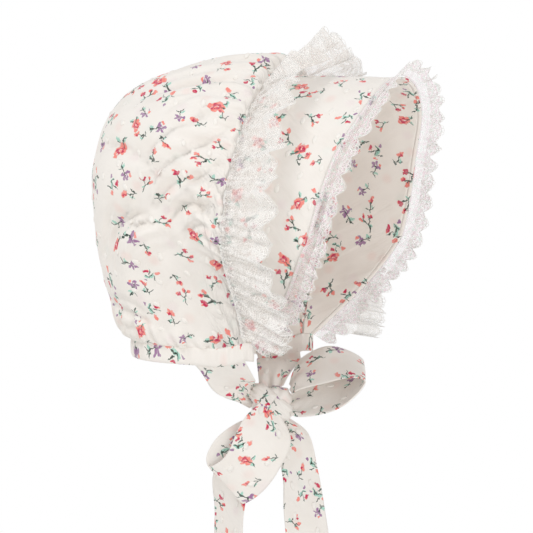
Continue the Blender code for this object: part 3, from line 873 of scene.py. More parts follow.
def crease(distance, depth):
    return crownLook["creaseDepth"] * depth * math.exp(-(distance / crownLook["creaseReach"]) ** 2)


def crownPoint(u, v):
    side = 2 * u - 1
    base = crownBase(side, v)
    relief = 0.0
    for tree, depth, reach, steps in crownFolds:
        spot, i, distance = tree.find(base)
        if distance > reach * 3:
            continue
        taper = math.sin(math.pi * i / steps)
        relief += crown["foldDepth"] * depth * (0.55 + 0.45 * taper) * math.exp(-(distance / reach) ** 2)
        relief += crease(distance, depth * taper)
    spot, i, distance = crownCreases.find(base)
    relief += crease(distance, creaseDepths[i])
    for place, count in crown["gathers"]:
        share = math.exp(-((v - place) / crown["gatherSpan"]) ** 2)
        relief += crown["gatherDepth"] * share * math.cos(2 * math.pi * count * side)
    relief *= ease(v / crown["seamFade"])
    stray = noise.noise(Vector((side * 7, v * 4, 2.0)))
    pleat = math.cos(2 * math.pi * crownLook["pleats"] * (side + crownLook["pleatStray"] * stray))
    reach = crownLook["pleatReach"] * (1.0 + 1.3 * noise.noise(Vector((side * 13, 0.0, 8.0))))
    relief += crownLook["pleatDepth"] * pleat * math.exp(-(v / reach) ** 2) * ease(v / 0.03)
    share = crownLook["neckPleats"]
    pleat = math.cos(2 * math.pi * crownLook["pleats"] * share * (side + 0.02 * stray))
    relief += crownLook["pleatDepth"] * pleat * math.exp(-((1 - v) / crownLook["neckReach"]) ** 2) * share
    crumple = noise.noise(base * 48) + 0.5 * noise.noise(base * 120 + Vector((5.0, 0.0, 0.0)))
    relief += crownLook["crumple"] * crumple * ease(v / 0.08)
    relief *= ease((1 - v) / crown["neckFade"]) * ease((1 - abs(side)) / crown["footFade"])
    relief -= crownLook["tuck"] * (1 - ease(v / 0.018))
    return base + crownNormal(side, v) * relief


crownFlat = layFlat(lambda u, v: crownBase(2 * u - 1, v), *crownLook["flatGrid"])
crownCloth = clothGrid("crownCloth", crownLook["columns"], crownLook["rows"], crownPoint, crownFlat)
thicken(crownCloth, crownLook["wall"], -1.0, (crownOuter, crownInner))
settle(crownCloth, "crown")
print("crown:", len(crownCloth.data.polygons), "faces")


# ---- brim

brimLook = {
    "columns": 300,
    "rows": 44,
    "flatGrid": (48, 8),
    "wall": 0.0012,
    "edgeRoll": 0.0005,  # the turned edge stands a little proud
    "tuck": 0.0006,
    "ripple": 0.0009,
}


def brimPoint(u, v):
    side = 2 * u - 1
    reach = 1 - v  # the first row is the front edge
    rear = seamPoint(side) + forward * gap / 2
    base = rear.lerp(edgePoint(side), reach)
    out = outward(lambda s: seamPoint(s).lerp(edgePoint(s), reach), side, 0.01)
    hollow = noise.noise(base * 38) + 0.4 * noise.noise(base * 95)
    relief = brimLook["ripple"] * hollow * ease(v / 0.15) * ease((1 - v) / 0.1)
    relief += brimLook["edgeRoll"] * (0.5 - ease(v / 0.06)) * ease((1 - abs(side)) / 0.05)
    relief -= brimLook["tuck"] * ease((v - 0.965) / 0.035)
    return base + out * (relief - brimLook["edgeRoll"] / 2)


brimFlat = layFlat(lambda u, v: edgePoint(2 * u - 1).lerp(seamPoint(2 * u - 1), v), *brimLook["flatGrid"])
brimCloth = clothGrid("brimCloth", brimLook["columns"], brimLook["rows"], brimPoint, brimFlat)
thicken(brimCloth, brimLook["wall"], -1.0, (brimOuter, brimInner))
settle(brimCloth, "brim")
print("brim:", len(brimCloth.data.polygons), "faces")


# ---- lace

laceDrawn = {  # millimetres; pairs are where a thread is gone, and where it is full
    "ring": (0.30, 0.12),
    "spoke": (0.24, 0.10),
    "spokeCover": 0.9,
    "net": (0.12, 0.05),
    "pull": 2.2,  # how far the net is pulled about
    "pullScale": 0.28,
    "border": (0.7, 0.4),
    "borderCover": 0.7,
    "foot": (1.6, 1.2),
}


# Fine polyester lace: a see-through net with dense shells at the border and a faint bead of shine.
# The map is the lace laid flat: u along the cut, v from the foot to the border.
def laceMaterial(name, lace, colour):
    made, tree, shader = newMaterial(name, colour, 0.5)
    shader.inputs["Sheen Weight"].default_value = 0.3
    shader.inputs["Specular IOR Level"].default_value = 0.4
    cloth = addNode(tree, "UVMap", uv_map="clothMap").outputs["UV"]
    mm = addNode(tree, "VectorMath", {0: cloth, "Scale": 1000.0}, operation="SCALE").outputs["Vector"]
    split = addNode(tree, "SeparateXYZ", {"Vector": mm})
    pitch = lace["pitch"] * 1000
    width = lace["width"] * 1000

    # place inside one shell: x from its middle, y from its heart
    inShell = addNode(tree, "Math", {0: split.outputs["X"], 1: pitch / 2, 2: -pitch / 2}, operation="WRAP")
    fromHeart = addNode(
        tree, "Math", {0: split.outputs["Y"], 1: width - lace["shell"]}, operation="SUBTRACT",
    )
    shell = addNode(tree, "CombineXYZ", {"X": inShell, "Y": fromHeart})
    reach = addNode(tree, "VectorMath", {0: shell}, operation="LENGTH")
    angle = addNode(tree, "Math", {0: inShell, 1: fromHeart}, operation="ARCTAN2")
    rings = addNode(tree, "Math", {0: reach, 1: lace["ring"]}, operation="PINGPONG")
    gone, full = laceDrawn["ring"]
    rings = addNode(tree, "MapRange", {"Value": rings, "From Min": gone, "From Max": full})
    spokes = addNode(tree, "Math", {0: angle, 1: lace["spoke"]}, operation="PINGPONG")
    spokes = addNode(tree, "Math", {0: spokes, 1: reach}, operation="MULTIPLY")
    gone, full = laceDrawn["spoke"]
    spokes = addNode(
        tree, "MapRange",
        {"Value": spokes, "From Min": gone, "From Max": full, "To Max": laceDrawn["spokeCover"]},
    )
    fan = addNode(tree, "Math", {0: rings, 1: spokes}, operation="MAXIMUM")
    above = addNode(tree, "MapRange", {"Value": fromHeart, "From Min": -0.6, "From Max": 0.2})
    fan = addNode(tree, "Math", {0: fan, 1: above}, operation="MULTIPLY")

    # the net's threads, pulled about, and a little loose fibre between them
    pull = addNode(
        tree, "TexNoise", {"Vector": mm, "Scale": laceDrawn["pullScale"], "Detail": 1.5},
        noise_dimensions="2D",
    )
    strayed = addNode(
        tree, "VectorMath",
        {0: pull.outputs["Color"], 1: (laceDrawn["pull"], laceDrawn["pull"], 0.0), 2: mm},
        operation="MULTIPLY_ADD",
    )
    fibre = addNode(
        tree, "MapRange",
        {
            "Value": pull, "From Min": 0.40, "From Max": 0.62, "To Min": lace["haze"] * 0.7,
            "To Max": lace["haze"] * 1.3,
        },
    )
    net = addNode(
        tree, "TexVoronoi", {"Vector": strayed, "Scale": 1 / lace["mesh"], "Randomness": 0.95},
        voronoi_dimensions="2D", feature="DISTANCE_TO_EDGE",
    )
    gone, full = laceDrawn["net"]
    net = addNode(
        tree, "MapRange", {"Value": net, "From Min": gone, "From Max": full, "To Max": lace["strong"]},
    )
    net = addNode(tree, "Math", {0: net, 1: fibre}, use_clamp=True)
    pattern = addNode(tree, "Math", {0: fan, 1: net}, operation="MAXIMUM")

    # a filled leaf under each shell, and dense edges at foot and border
    leaf = addNode(
        tree, "Mapping",
        {
            "Vector": shell, "Location": (0.0, lace["leafDrop"], 0.0),
            "Scale": (lace["leaf"][0], lace["leaf"][1], 1.0),
        },
        vector_type="TEXTURE",
    )
    leaf = addNode(tree, "VectorMath", {0: leaf}, operation="LENGTH")
    leaf = addNode(
        tree, "MapRange", {"Value": leaf, "From Min": 1.05, "From Max": 0.85, "To Max": lace["fill"]},
    )
    pattern = addNode(tree, "Math", {0: pattern, 1: leaf}, operation="MAXIMUM")
    gone, full = laceDrawn["border"]
    border = (width - gone, width - full, laceDrawn["borderCover"])
    for low, high, most in (border, (*laceDrawn["foot"], lace["tape"])):
        edge = addNode(
            tree, "MapRange",
            {"Value": split.outputs["Y"], "From Min": low, "From Max": high, "To Max": most},
        )
        pattern = addNode(tree, "Math", {0: pattern, 1: edge}, operation="MAXIMUM")
    tree.links.new(pattern.outputs[0], shader.inputs["Alpha"])
    bump = addNode(tree, "Bump", {"Height": pattern, "Strength": 0.25, "Distance": 0.0002})
    tree.links.new(bump.outputs["Normal"], shader.inputs["Normal"])

    # painted glints: pearly pink and mint tints put into the base colour, where single threads catch the
    # light
    if lace["glint"]:
        spots = addNode(
            tree, "TexNoise", {"Vector": mm, "Scale": 0.55, "Detail": 3.0}, noise_dimensions="2D",
        )
        hue = addNode(tree, "ValToRGB", {"Fac": spots})
        glints = ((0.0, colour), (0.36, "E2F3EB"), (0.42, colour), (0.55, "F7EAEF"), (0.64, "F5DDE8"))
        for place, code in glints:
            stop = hue.color_ramp.elements[0] if place == 0.0 else hue.color_ramp.elements.new(place)
            stop.color = hexColour(code)
        hue.color_ramp.elements[-1].color = hexColour(colour)
        tree.links.new(hue.outputs["Color"], shader.inputs["Base Color"])
    return made


# Thread drawn on a lace: each run is a list of (u, v) places on the surface
def laceThreads(name, surface, runs, radius, look):
    curve = bpy.data.curves.new(name, "CURVE")
    curve.dimensions = "3D"
    curve.bevel_depth = radius
    curve.bevel_resolution = 0
    for run in runs:
        spline = curve.splines.new("POLY")
        spline.points.add(len(run) - 1)
        for point, (u, v) in zip(spline.points, run):
            point.co = (*surface(u, v), 1.0)
    rough = bpy.data.objects.new(name + "Route", curve)
    bpy.context.scene.collection.objects.link(rough)
    bpy.context.view_layer.update()
    mesh = bpy.data.meshes.new_from_object(rough.evaluated_get(bpy.context.evaluated_depsgraph_get()))
    bpy.data.objects.remove(rough)
    mesh.name = name
    mesh.shade_smooth()
    mesh.materials.clear()
    mesh.materials.append(look)
    piece = bpy.data.objects.new(name, mesh)
    bpy.context.scene.collection.objects.link(piece)
    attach(piece, "root")
    return piece


# Loops of thread round the border: the scalloped cord, and petals that stand on each shell's heart
def shellRuns(lace, count, length):
    runs = []
    whole = lace["width"] * 1000
    steps = lace["threadSteps"]
    runs.append([(i / (count * steps), 1.0) for i in range(count * steps + 1)])
    for n in range(count):
        middle = (n + 0.5) / count
        for lean, tall, wide in lace["petals"]:
            loop = []
            for i in range(lace["petalSteps"] + 1):
                turn = 2 * math.pi * i / lace["petalSteps"]
                out = (1 - math.cos(turn)) / 2 * tall
                aside = math.sin(turn) * wide
                x = aside * math.cos(lean) + out * math.sin(lean)
                y = out * math.cos(lean) - aside * math.sin(lean)
                loop.append((middle + x / length, min(1.0, 1.0 + (y - lace["shell"]) / whole)))
            runs.append(loop)
    picots = count * lace["picots"]
    chance = random.Random(5)
    for n in range(picots):
        reach = lace["picotReach"] / whole * chance.uniform(0.6, 1.3)
        turns = [math.pi * i / 6 for i in range(7)]
        runs.append([((n + 0.5 - 0.62 * math.cos(a)) / picots, 1.0 + reach * math.sin(a)) for a in turns])
    return [[(min(max(u, 0.0), 1.0), v) for u, v in run] for run in runs]


seamLace = {
    "width": 0.0290,
    "cut": 0.66,  # metres of lace gathered into the seam
    "waves": 26,
    "wave": 0.0070,
    "scallop": 0.0030,
    "forward": -0.0016,  # the foot covers the seam
    "stand": 0.0014,
    "span": 0.97,
    "stray": 2.56,  # how far the folds wander from an even spacing
    "shake": 0.0016,
    "footGather": 0.0006,
    "sections": (
        ("side", "tilt", "width", "wave"),
        (0.00, 52.0, 1.05, 1.6),
        (0.20, 60.0, 1.10, 1.2),
        (0.40, 69.0, 1.15, 0.9),
        (0.70, 69.0, 1.33, 0.9),
        (0.88, 66.0, 1.52, 1.0),
        (1.00, 64.0, 1.50, 1.0),
    ),
    "columns": 26 * 36,
    "rows": 26,
    "pitch": 0.66 / 52,
    "shell": 9.0,  # millimetres from the shell's heart to the border
    "ring": 1.15,
    "spoke": 0.17,
    "mesh": 1.3,
    "haze": 0.46,
    "tape": 0.8,
    "colour": "FCFAF7",
    "strong": 0.36,
    "leafDrop": -4.5,
    "leaf": (2.2, 3.0),
    "fill": 0.38,
    "glint": False,
    "threadSteps": 12,
    "petalSteps": 12,
    "petals": (  # lean, height and half width of each loop
        (0.0, 8.6, 1.6),
        (0.45, 8.2, 1.4),
        (-0.45, 8.2, 1.4),
        (0.9, 7.4, 1.2),
        (-0.9, 7.4, 1.2),
    ),
    "picots": 7,  # small loops on each scallop's border
    "picotReach": 1.1,
    "thread": 0.00014,
}


def seamLacePoint(u, v):
    side = (2 * u - 1) * seamLace["span"]
    ahead = (edgePoint(side) - seamPoint(side)).normalized()
    out = outward(seamPoint, side, 0.08)
    out = (out - ahead * out.dot(ahead)).normalized()
    values = {name: tableValue(seamLace["sections"], name, abs(side)) for name in ("tilt", "width", "wave")}
    tilt = math.radians(values["tilt"])
    direction = out * math.cos(tilt) + ahead * math.sin(tilt)
    square = ahead * math.cos(tilt) - out * math.sin(tilt)
    foot = seamPoint(side) + out * seamLace["stand"] + ahead * seamLace["forward"]
    phase = 2 * math.pi * seamLace["waves"] * u
    wander = noise.noise(Vector((u * 21, 0.0, 7.0)))
    swell = 0.56 + 0.9 * noise.noise(Vector((u * 44, 3.0, 1.0)))
    uneven = 1.0 + 0.9 * noise.noise(Vector((u * 60, 9.0, 4.0)))
    scallop = seamLace["scallop"] * uneven * (abs(math.cos(phase)) - 1) * v**3
    length = seamLace["width"] * values["width"] * v + scallop
    swing = seamLace["wave"] * values["wave"] * swell * v**0.7 * math.sin(phase + seamLace["stray"] * wander)
    swing += seamLace["shake"] * v * (1.3 - v) * math.sin(2.7 * phase + 6.4 * wander)
    swing += seamLace["footGather"] * math.exp(-v / 0.3) * ease(v / 0.05) * math.sin(5.3 * phase)
    lift = seamLace["shake"] * v * noise.noise(Vector((u * 30, v * 2, 1.0)))
    return foot + direction * (length + lift) + square * swing


edgeLace = {
    "width": 0.0125,
    "lap": 0.0010,  # sewn down on the brim's outside
    "cut": 0.44,
    "scallops": 44,
    "scallop": 0.0032,
    "ripple": 0.0013,
    "stand": 0.0007,
    "curl": 0.0024,
    "sections": (
        ("side", "flare"),
        (0.00, 48.0),
        (0.10, 32.0),
        (0.25, 16.0),
        (0.60, 12.0),
        (1.00, 20.0),
    ),
    "columns": 44 * 16,
    "rows": 14,
    "pitch": 0.44 / 44,
    "shell": 6.6,
    "ring": 1.05,
    "spoke": 0.21,
    "mesh": 1.15,
    "haze": 0.26,
    "tape": 0.5,
    "colour": "F5F1F0",
    "strong": 0.5,
    "leafDrop": -1.6,
    "leaf": (1.9, 1.7),
    "fill": 0.45,
    "glint": True,
    "threadSteps": 12,
    "petalSteps": 12,
    "petals": (
        (0.0, 6.4, 1.2),
        (0.5, 6.1, 1.1),
        (-0.5, 6.1, 1.1),
        (1.0, 5.4, 1.0),
        (-1.0, 5.4, 1.0),
    ),
    "picots": 6,
    "picotReach": 1.2,
    "thread": 0.00013,
}


def edgeLacePoint(u, v):
    side = 2 * u - 1
    run = (edgePoint(min(side + 0.01, 1)) - edgePoint(max(side - 0.01, -1))).normalized()
    out = outward(edgePoint, side, 0.01)
    ahead = (forward - run * forward.dot(run) * 0.8).normalized()
    flare = math.radians(tableValue(edgeLace["sections"], "flare", abs(side)))
    direction = ahead * math.cos(flare) + out * math.sin(flare)
    edge = edgePoint(side)
    along = edgeLace["width"] * v - edgeLace["lap"]
    if along < 0:
        return edge + (edge - seamPoint(side)).normalized() * along + out * edgeLace["stand"]
    free = along / (edgeLace["width"] - edgeLace["lap"])
    phase = math.pi * edgeLace["scallops"] * u
    stray = noise.noise(Vector((u * 40, v, 3.0)))
    scallop = edgeLace["scallop"] * (abs(math.sin(phase)) - 1) * free**3 * (1 + 0.8 * stray)
    ripple = edgeLace["ripple"] * free * math.sin(1.37 * phase + 2.5 * stray)
    curl = edgeLace["curl"] * free * free * noise.noise(Vector((u * 70, 5.0, 0.0)))
    stand = edgeLace["stand"] * (1 - free)
    return edge + direction * (along + scallop) + out * (ripple + curl + stand)


# A thread with its fibres as a fine grain
def threadMaterial(name, look):
    made, tree, shader = newMaterial(name, look["colour"], look["roughness"])
    shader.inputs["Sheen Weight"].default_value = look["sheen"]
    place = addNode(tree, "TexCoord").outputs["Object"]
    fibres = addNode(tree, "TexNoise", {"Vector": place, "Scale": look["scale"], "Detail": look["detail"]})
    bump = addNode(tree, "Bump", {"Height": fibres, "Strength": look["strength"], "Distance": look["rise"]})
    tree.links.new(bump.outputs["Normal"], shader.inputs["Normal"])
    return made


# twisted polyester, a little shiny
laceThread = threadMaterial("lace thread", {
    "colour": "FCFAF7",
    "roughness": 0.45,
    "sheen": 0.3,
    "scale": 2500.0,
    "detail": 1.0,
    "strength": 0.5,
    "rise": 0.00008,
})


def addLace(name, lace, node, place, count):
    look = laceMaterial(name + " net", lace, lace["colour"])
    cut, width = lace["cut"], lace["width"]  # where the lace is widened, the pattern stretches with it
    piece = clothGrid(name, lace["columns"], lace["rows"], place, lambda u, v: (u * cut, v * width))
    piece.data.materials.append(look)
    settle(piece, node)
    runs = shellRuns(lace, count, cut * 1000)
    threads = laceThreads(name + "Threads", place, runs, lace["thread"], laceThread)
    return piece, threads


seamRuffle, seamThreads = addLace(
    "seamLace", seamLace, "seam_lace", seamLacePoint, 2 * seamLace["waves"],
)
edgeTrim, edgeThreads = addLace(
    "edgeLace", edgeLace, "brim_edge_lace", edgeLacePoint, edgeLace["scallops"],
)
print("lace:", len(seamRuffle.data.polygons) + len(edgeTrim.data.polygons), "faces,",
      len(seamThreads.data.polygons) + len(edgeThreads.data.polygons), "in threads")


# ---- neck band

band = {
    "height": 0.0082,
    "wall": 0.0024,
    "bulge": 0.0004,
    "clearance": 0.0005,
    "overlap": 0.0016,  # how far the fold reaches up over the crown's hem
    "cloth": 0.0006,
    "columns": 300,
    "ring": 18,
    "gathers": 46,
    "gatherDepth": 0.00028,
    "endTaper": 0.02,
    "length": 0.24,
    "open": 0.05,  # share of the fold's round left open at its top, on each side
}


# Round the band's fold: v runs down the outside, under the hem and up the inside
def bandPoint(u, v):
    out = hemOutward(u)
    turn = 2 * math.pi * (band["open"] + (1 - 2 * band["open"]) * v)
    up, aside = math.cos(turn), math.sin(turn)
    up = math.copysign(abs(up) ** 0.7, up)
    aside = math.copysign(abs(aside) ** 0.5, aside)
    half = (band["height"] + band["overlap"]) / 2
    middle = hemPoint(u) + down * (band["clearance"] + band["height"] - half)
    middle -= out * (band["wall"] - band["bulge"]) / 2
    pucker = math.cos(2 * math.pi * band["gathers"] * u + 3 * noise.noise(Vector((u * 14, 0, 0))))
    pucker *= band["gatherDepth"] * (0.5 + 0.5 * up)
    deep = band["wall"] / 2 + (band["bulge"] + pucker) * max(aside, 0.0)
    deep *= 0.15 + 0.85 * ease(min(u, 1 - u) / band["endTaper"])
    return middle - down * up * half + out * aside * deep


def addBand():
    wide = 2 * (band["height"] + band["overlap"])
    flat = lambda u, v: (u * band["length"], v * wide)
    piece = clothGrid("neckBand", band["columns"], band["ring"], bandPoint, flat)
    thicken(piece, band["cloth"], 0.0, (bandCotton,))
    settle(piece, "neck_band")
    return piece


neckBand = addBand()
print("neck band made")


# ---- ties, knot and bow

knot = {
    "length": 0.0190,
    "height": 0.0146,
    "depth": 0.0146,
    "drop": 0.177,
    "back": 0.011,
    "turn": 26.0,  # degrees that the bow is turned about the vertical
    "cuts": 20,
    "roundness": 3.2,
    "grow": 0.0017,  # the wrapped cloth closes over the ends of the strips
    "pleat": 0.0009,
    "pleatPitch": 0.0052,
    "slant": 40.0,
    "wrapWidth": 0.0108,
    "wrapWall": 0.0007,
    "wrapRise": 0.0012,
    "wrapPleat": 0.00045,
    "wrapStray": 0.0008,
    "wrapPrint": (0.362, 0.224),  # where the wrap lies on the print
    "wrapSlant": 38.0,  # degrees down to the right, as the camera sees it
}
knotCentre = Vector((0.0, knot["back"], -knot["drop"]))
bowSpin = Matrix.Rotation(math.radians(knot["turn"]), 3, "Z")
bowForward = bowSpin @ forward
bowSide = bowSpin @ wearersRight

strip = {
    "width": 0.028,
    "clearance": gap + 0.0007,
    "look": 0.0007,  # wall of the dressed cloth
    "rows": 26,
    "pleatDepth": 0.0013,
    "pleats": 2.4,
    "pleatReach": 0.16,
    "crumple": 0.0006,
    "hemRise": 0.00005,
}

tie = {
    "sag": 0.004,
    "lift": 0.0018,
    "sewn": 0.16,  # share of its length in which the tie leaves the band's line
    "pinch": 0.8,
    "pinchReach": 0.25,
    "tucked": 0.0012,  # how far the sewn end lies up in the band
    "bandPlaces": (0.063, 0.220),
    "right": (
        ("place", "sag", "width", "lean", "curl"),
        (0.14, 0.9, 0.98, -4.0, 0.03),
        (0.34, 1.2, 0.88, -12.0, 0.08),
        (0.56, 0.8, 0.68, -28.0, 0.14),
        (0.80, 0.2, 0.48, -52.0, 0.14),
        (1.00, 0.0, 0.38, -84.0, 0.00),
    ),
    "left": (
        ("place", "sag", "width", "lean", "curl"),
        (0.14, 0.3, 0.92, 2.0, 0.02),
        (0.34, -0.4, 0.86, 4.0, 0.05),
        (0.56, -0.8, 0.74, 4.0, 0.07),
        (0.80, -0.5, 0.58, 2.0, 0.05),
        (1.00, 0.0, 0.46, 0.0, 0.00),
    ),
}

# Side, forward and down are shares of the strip's length, in the bow's turned directions
loopLength = 0.040
frontLoop = (
    ("place", "side", "forward", "down", "width", "lean", "yaw", "curl"),
    (0.00, 0.00, 0.00, -0.190, 0.45, 90.0, 62.0, 0.00),
    (0.14, 0.00, 0.12, -0.370, 0.84, 90.0, 52.0, 0.04),
    (0.28, 0.00, 0.46, -0.500, 0.98, 90.0, 50.0, 0.04),
    (0.40, 0.00, 0.77, -0.520, 1.00, 90.0, 64.0, 0.02),
    (0.50, 0.00, 0.99, -0.410, 1.00, 90.0, 73.0, 0.00),
    (0.60, 0.00, 0.80, -0.200, 1.00, 90.0, 66.0, 0.02),
    (0.72, 0.00, 0.50, -0.100, 0.98, 90.0, 52.0, 0.04),
    (0.86, 0.00, 0.15, -0.015, 0.84, 90.0, 50.0, 0.04),
    (1.00, 0.00, 0.00, 0.050, 0.58, 90.0, 54.0, 0.00),
)
sideLoop = (
    ("place", "side", "forward", "down", "width", "lean", "yaw", "curl"),
    (0.00, 0.22, -0.05, -0.19, 0.34, 22.0, 0.0, 0.00),
    (0.12, 0.25, -0.07, 0.15, 1.00, 20.0, 0.0, 0.02),
    (0.26, 0.27, -0.25, 0.57, 1.04, 18.0, 0.0, 0.02),
    (0.40, 0.25, -0.45, 0.80, 1.04, 32.0, 0.0, 0.01),
    (0.50, 0.18, -0.62, 0.89, 0.98, 48.0, 0.0, 0.00),
    (0.60, 0.11, -0.60, 0.72, 1.00, 38.0, 0.0, 0.01),
    (0.74, 0.09, -0.42, 0.40, 0.98, 24.0, 0.0, 0.02),
    (0.88, 0.07, -0.20, 0.14, 0.80, 14.0, 0.0, 0.03),
    (1.00, 0.04, -0.10, 0.00, 0.46, 0.0, 0.0, 0.00),
)
tailLength = 0.067
rearTail = (
    ("place", "side", "forward", "down", "width", "lean", "yaw", "curl"),
    (0.00, -0.015, -0.045, 0.00, 0.42, 0.0, 0.0, 0.00),
    (0.25, -0.090, -0.230, 0.26, 0.76, 6.0, 16.0, 0.06),
    (0.50, -0.125, -0.330, 0.52, 0.92, 2.0, 40.0, 0.05),
    (0.75, -0.125, -0.346, 0.76, 0.97, 0.0, 53.0, 0.03),
    (1.00, -0.125, -0.355, 1.00, 0.97, 0.0, 56.0, 0.02),
)
frontTail = (
    ("place", "side", "forward", "down", "width", "lean", "yaw", "curl"),
    (0.00, -0.075, 0.030, 0.00, 0.42, 0.0, 0.0, 0.00),
    (0.18, -0.080, 0.165, 0.16, 0.64, -8.0, -12.0, 0.08),
    (0.45, -0.060, 0.230, 0.45, 0.82, -6.0, -34.0, 0.06),
    (0.72, -0.040, 0.263, 0.72, 0.94, -3.0, -34.0, 0.03),
    (1.00, -0.030, 0.294, 1.00, 0.97, 0.0, -31.0, 0.02),
)


# One point across a strip: k runs from -1 to 1, and pleats press the cloth together near a knot
def stripPoint(centre, width, turns, travel, spin, k, pinch, seed):
    lean, yaw, curl = turns
    lean, yaw = math.radians(lean), math.radians(yaw)
    across = (forward * math.cos(lean) + down * math.sin(lean)) * math.cos(yaw)
    across = spin @ (across + wearersRight * math.sin(yaw))
    rise = across.cross(travel).normalized()
    spot = centre + across * (k * width / 2) + rise * (curl * width * (1 - k * k))
    relief = strip["pleatDepth"] * pinch * math.cos(math.pi * strip["pleats"] * (k + 0.15 * seed))
    relief += strip["crumple"] * noise.noise(spot * 70 + Vector((seed * 9, 0.0, 0.0)))
    relief += strip["hemRise"] * math.exp(-((1 - abs(k)) / 0.08) ** 2)
    return spot + rise * relief


def stripSurface(table, anchor, length, ends, pleated, seed):
    def centre(place):
        parts = [tableValue(table, name, place) for name in ("side", "forward", "down")]
        return anchor + (bowSide * parts[0] + bowForward * parts[1] + down * parts[2]) * length

    def surface(u, v):
        travel = centre(min(u + 0.02, 1)) - centre(max(u - 0.02, 0))
        width = strip["width"] * tableValue(table, "width", u)
        turns = [tableValue(table, name, u) for name in ("lean", "yaw", "curl")]
        pinch = pleated * sum(math.exp(-((u - end) / strip["pleatReach"]) ** 2) for end in ends)
        return stripPoint(centre(u), width, turns, travel, bowSpin, 2 * v - 1, pinch, seed)

    return surface


def tieSurface(side, table, anchor, seed):
    near, far = tie["bandPlaces"]
    drop = band["clearance"] + band["height"] - tie["tucked"]
    bow = bowSpin.to_quaternion()

    def sewn(v):
        t = near + (far - near) * (1 - v)
        t = t if side < 0 else 1 - t
        return hemPoint(t) - hemOutward(t) * band["wall"] / 2 + down * drop

    start = sewn(0.5)

    def surface(u, v):
        values = {name: tableValue(table, name, u) for name in table[0][1:]}
        sag = values["sag"] * min(u / table[1][0], 1.0)
        centre = start.lerp(anchor, u) + down * sag * tie["sag"]
        spin = Quaternion().slerp(bow, u).to_matrix()
        pinch = tie["pinch"] * math.exp(-((1 - u) / tie["pinchReach"]) ** 2)
        turns = (values["lean"], 0.0, -values["curl"] * side)
        width = strip["width"] * values["width"]
        free = stripPoint(centre, width, turns, anchor - start, spin, 2 * v - 1, pinch, seed)
        return sewn(v).lerp(free, ease(u / tie["sewn"]))

    return surface


tieStrips = []


def addStrip(name, node, surface, columns):
    piece = clothGrid(name, columns, strip["rows"], surface, lambda u, v: (0.0, 0.0))
    mapStrip(piece, columns, surface)
    thicken(piece, strip["look"], 0.0, (tieCotton,))
    settle(piece, node)
    tieStrips.append((piece, surface))


# Lays the strip's map straight: u along its middle, v across its cut width
def mapStrip(piece, columns, surface):
    run = [0.0]
    for i in range(columns):
        run.append(run[-1] + (surface((i + 1) / columns, 0.5) - surface(i / columns, 0.5)).length)
    layer = piece.data.uv_layers["clothMap"]
    rows = strip["rows"]
    shift = 0.07 * len(tieStrips)
    for face in piece.data.polygons:
        for corner in face.loop_indices:
            vert = piece.data.loops[corner].vertex_index
            i, j = vert % (columns + 1), vert // (columns + 1)
            layer.data[corner].uv = (run[i] + shift, strip["width"] * j / rows + shift * 0.4)


def addTies():
    rear = knotCentre - bowForward * (knot["length"] / 2 + strip["clearance"]) - down * tie["lift"]
    top = knotCentre - down * (knot["height"] / 2 + strip["clearance"])
    front = knotCentre + bowForward * (knot["length"] / 2 + strip["clearance"])
    under = knotCentre + down * (knot["height"] / 2 + strip["clearance"])
    both, start = (0.0, 1.0), (0.0,)
    addStrip("tieRight", "tie_right", tieSurface(-1, tie["right"], rear, 1.0), 90)
    addStrip("tieLeft", "tie_left", tieSurface(1, tie["left"], top, 2.0), 90)
    addStrip("loopFront", "loop_front", stripSurface(frontLoop, front, loopLength, both, 0.6, 3.0), 150)
    addStrip("loopSide", "loop_side", stripSurface(sideLoop, under, loopLength, both, 0.3, 4.0), 150)
    addStrip("tailRear", "tail_rear", stripSurface(rearTail, under, tailLength, start, 0.7, 5.0), 100)
    addStrip("tailFront", "tail_front", stripSurface(frontTail, under, tailLength, start, 0.7, 6.0), 100)


addTies()


# How far the knot's bundle reaches from its middle along a direction given in the bow's own turn
def knotReach(ray, grow):
    half = Vector((knot["depth"], knot["length"], knot["height"])) / 2
    power = knot["roundness"]
    return sum(abs(part / (size + grow)) ** power for part, size in zip(ray, half)) ** (-1 / power)


# The knot: a rounded bundle with the tie's pleats wound round it on the slant
def addKnot():
    bm = bmesh.new()
    bmesh.ops.create_cube(bm, size=2.0)
    bmesh.ops.subdivide_edges(bm, edges=bm.edges, cuts=knot["cuts"], use_grid_fill=True)
    slant = math.radians(knot["slant"])
    layer = bm.loops.layers.uv.new("clothMap")
    places = {}
    for vert in bm.verts:
        ray = vert.co.normalized()
        spot = ray * knotReach(ray, knot["grow"])
        wound = spot.y * math.sin(slant) + spot.z * math.cos(slant)
        along = spot.y * math.cos(slant) - spot.z * math.sin(slant)
        groove = math.cos(2 * math.pi * wound / knot["pleatPitch"] + 1.5 * noise.noise(spot * 160))
        spot -= ray * knot["pleat"] * (0.55 - 0.45 * groove)
        places[vert] = (along + abs(spot.x), wound)
        vert.co = bowSpin @ spot + knotCentre
    for face in bm.faces:
        face.smooth = True
        for loop in face.loops:
            loop[layer].uv = places[loop.vert]
    piece = finishMesh("knotWrap", bm)
    piece.data.materials.append(tieCotton)
    settle(piece, "knot")


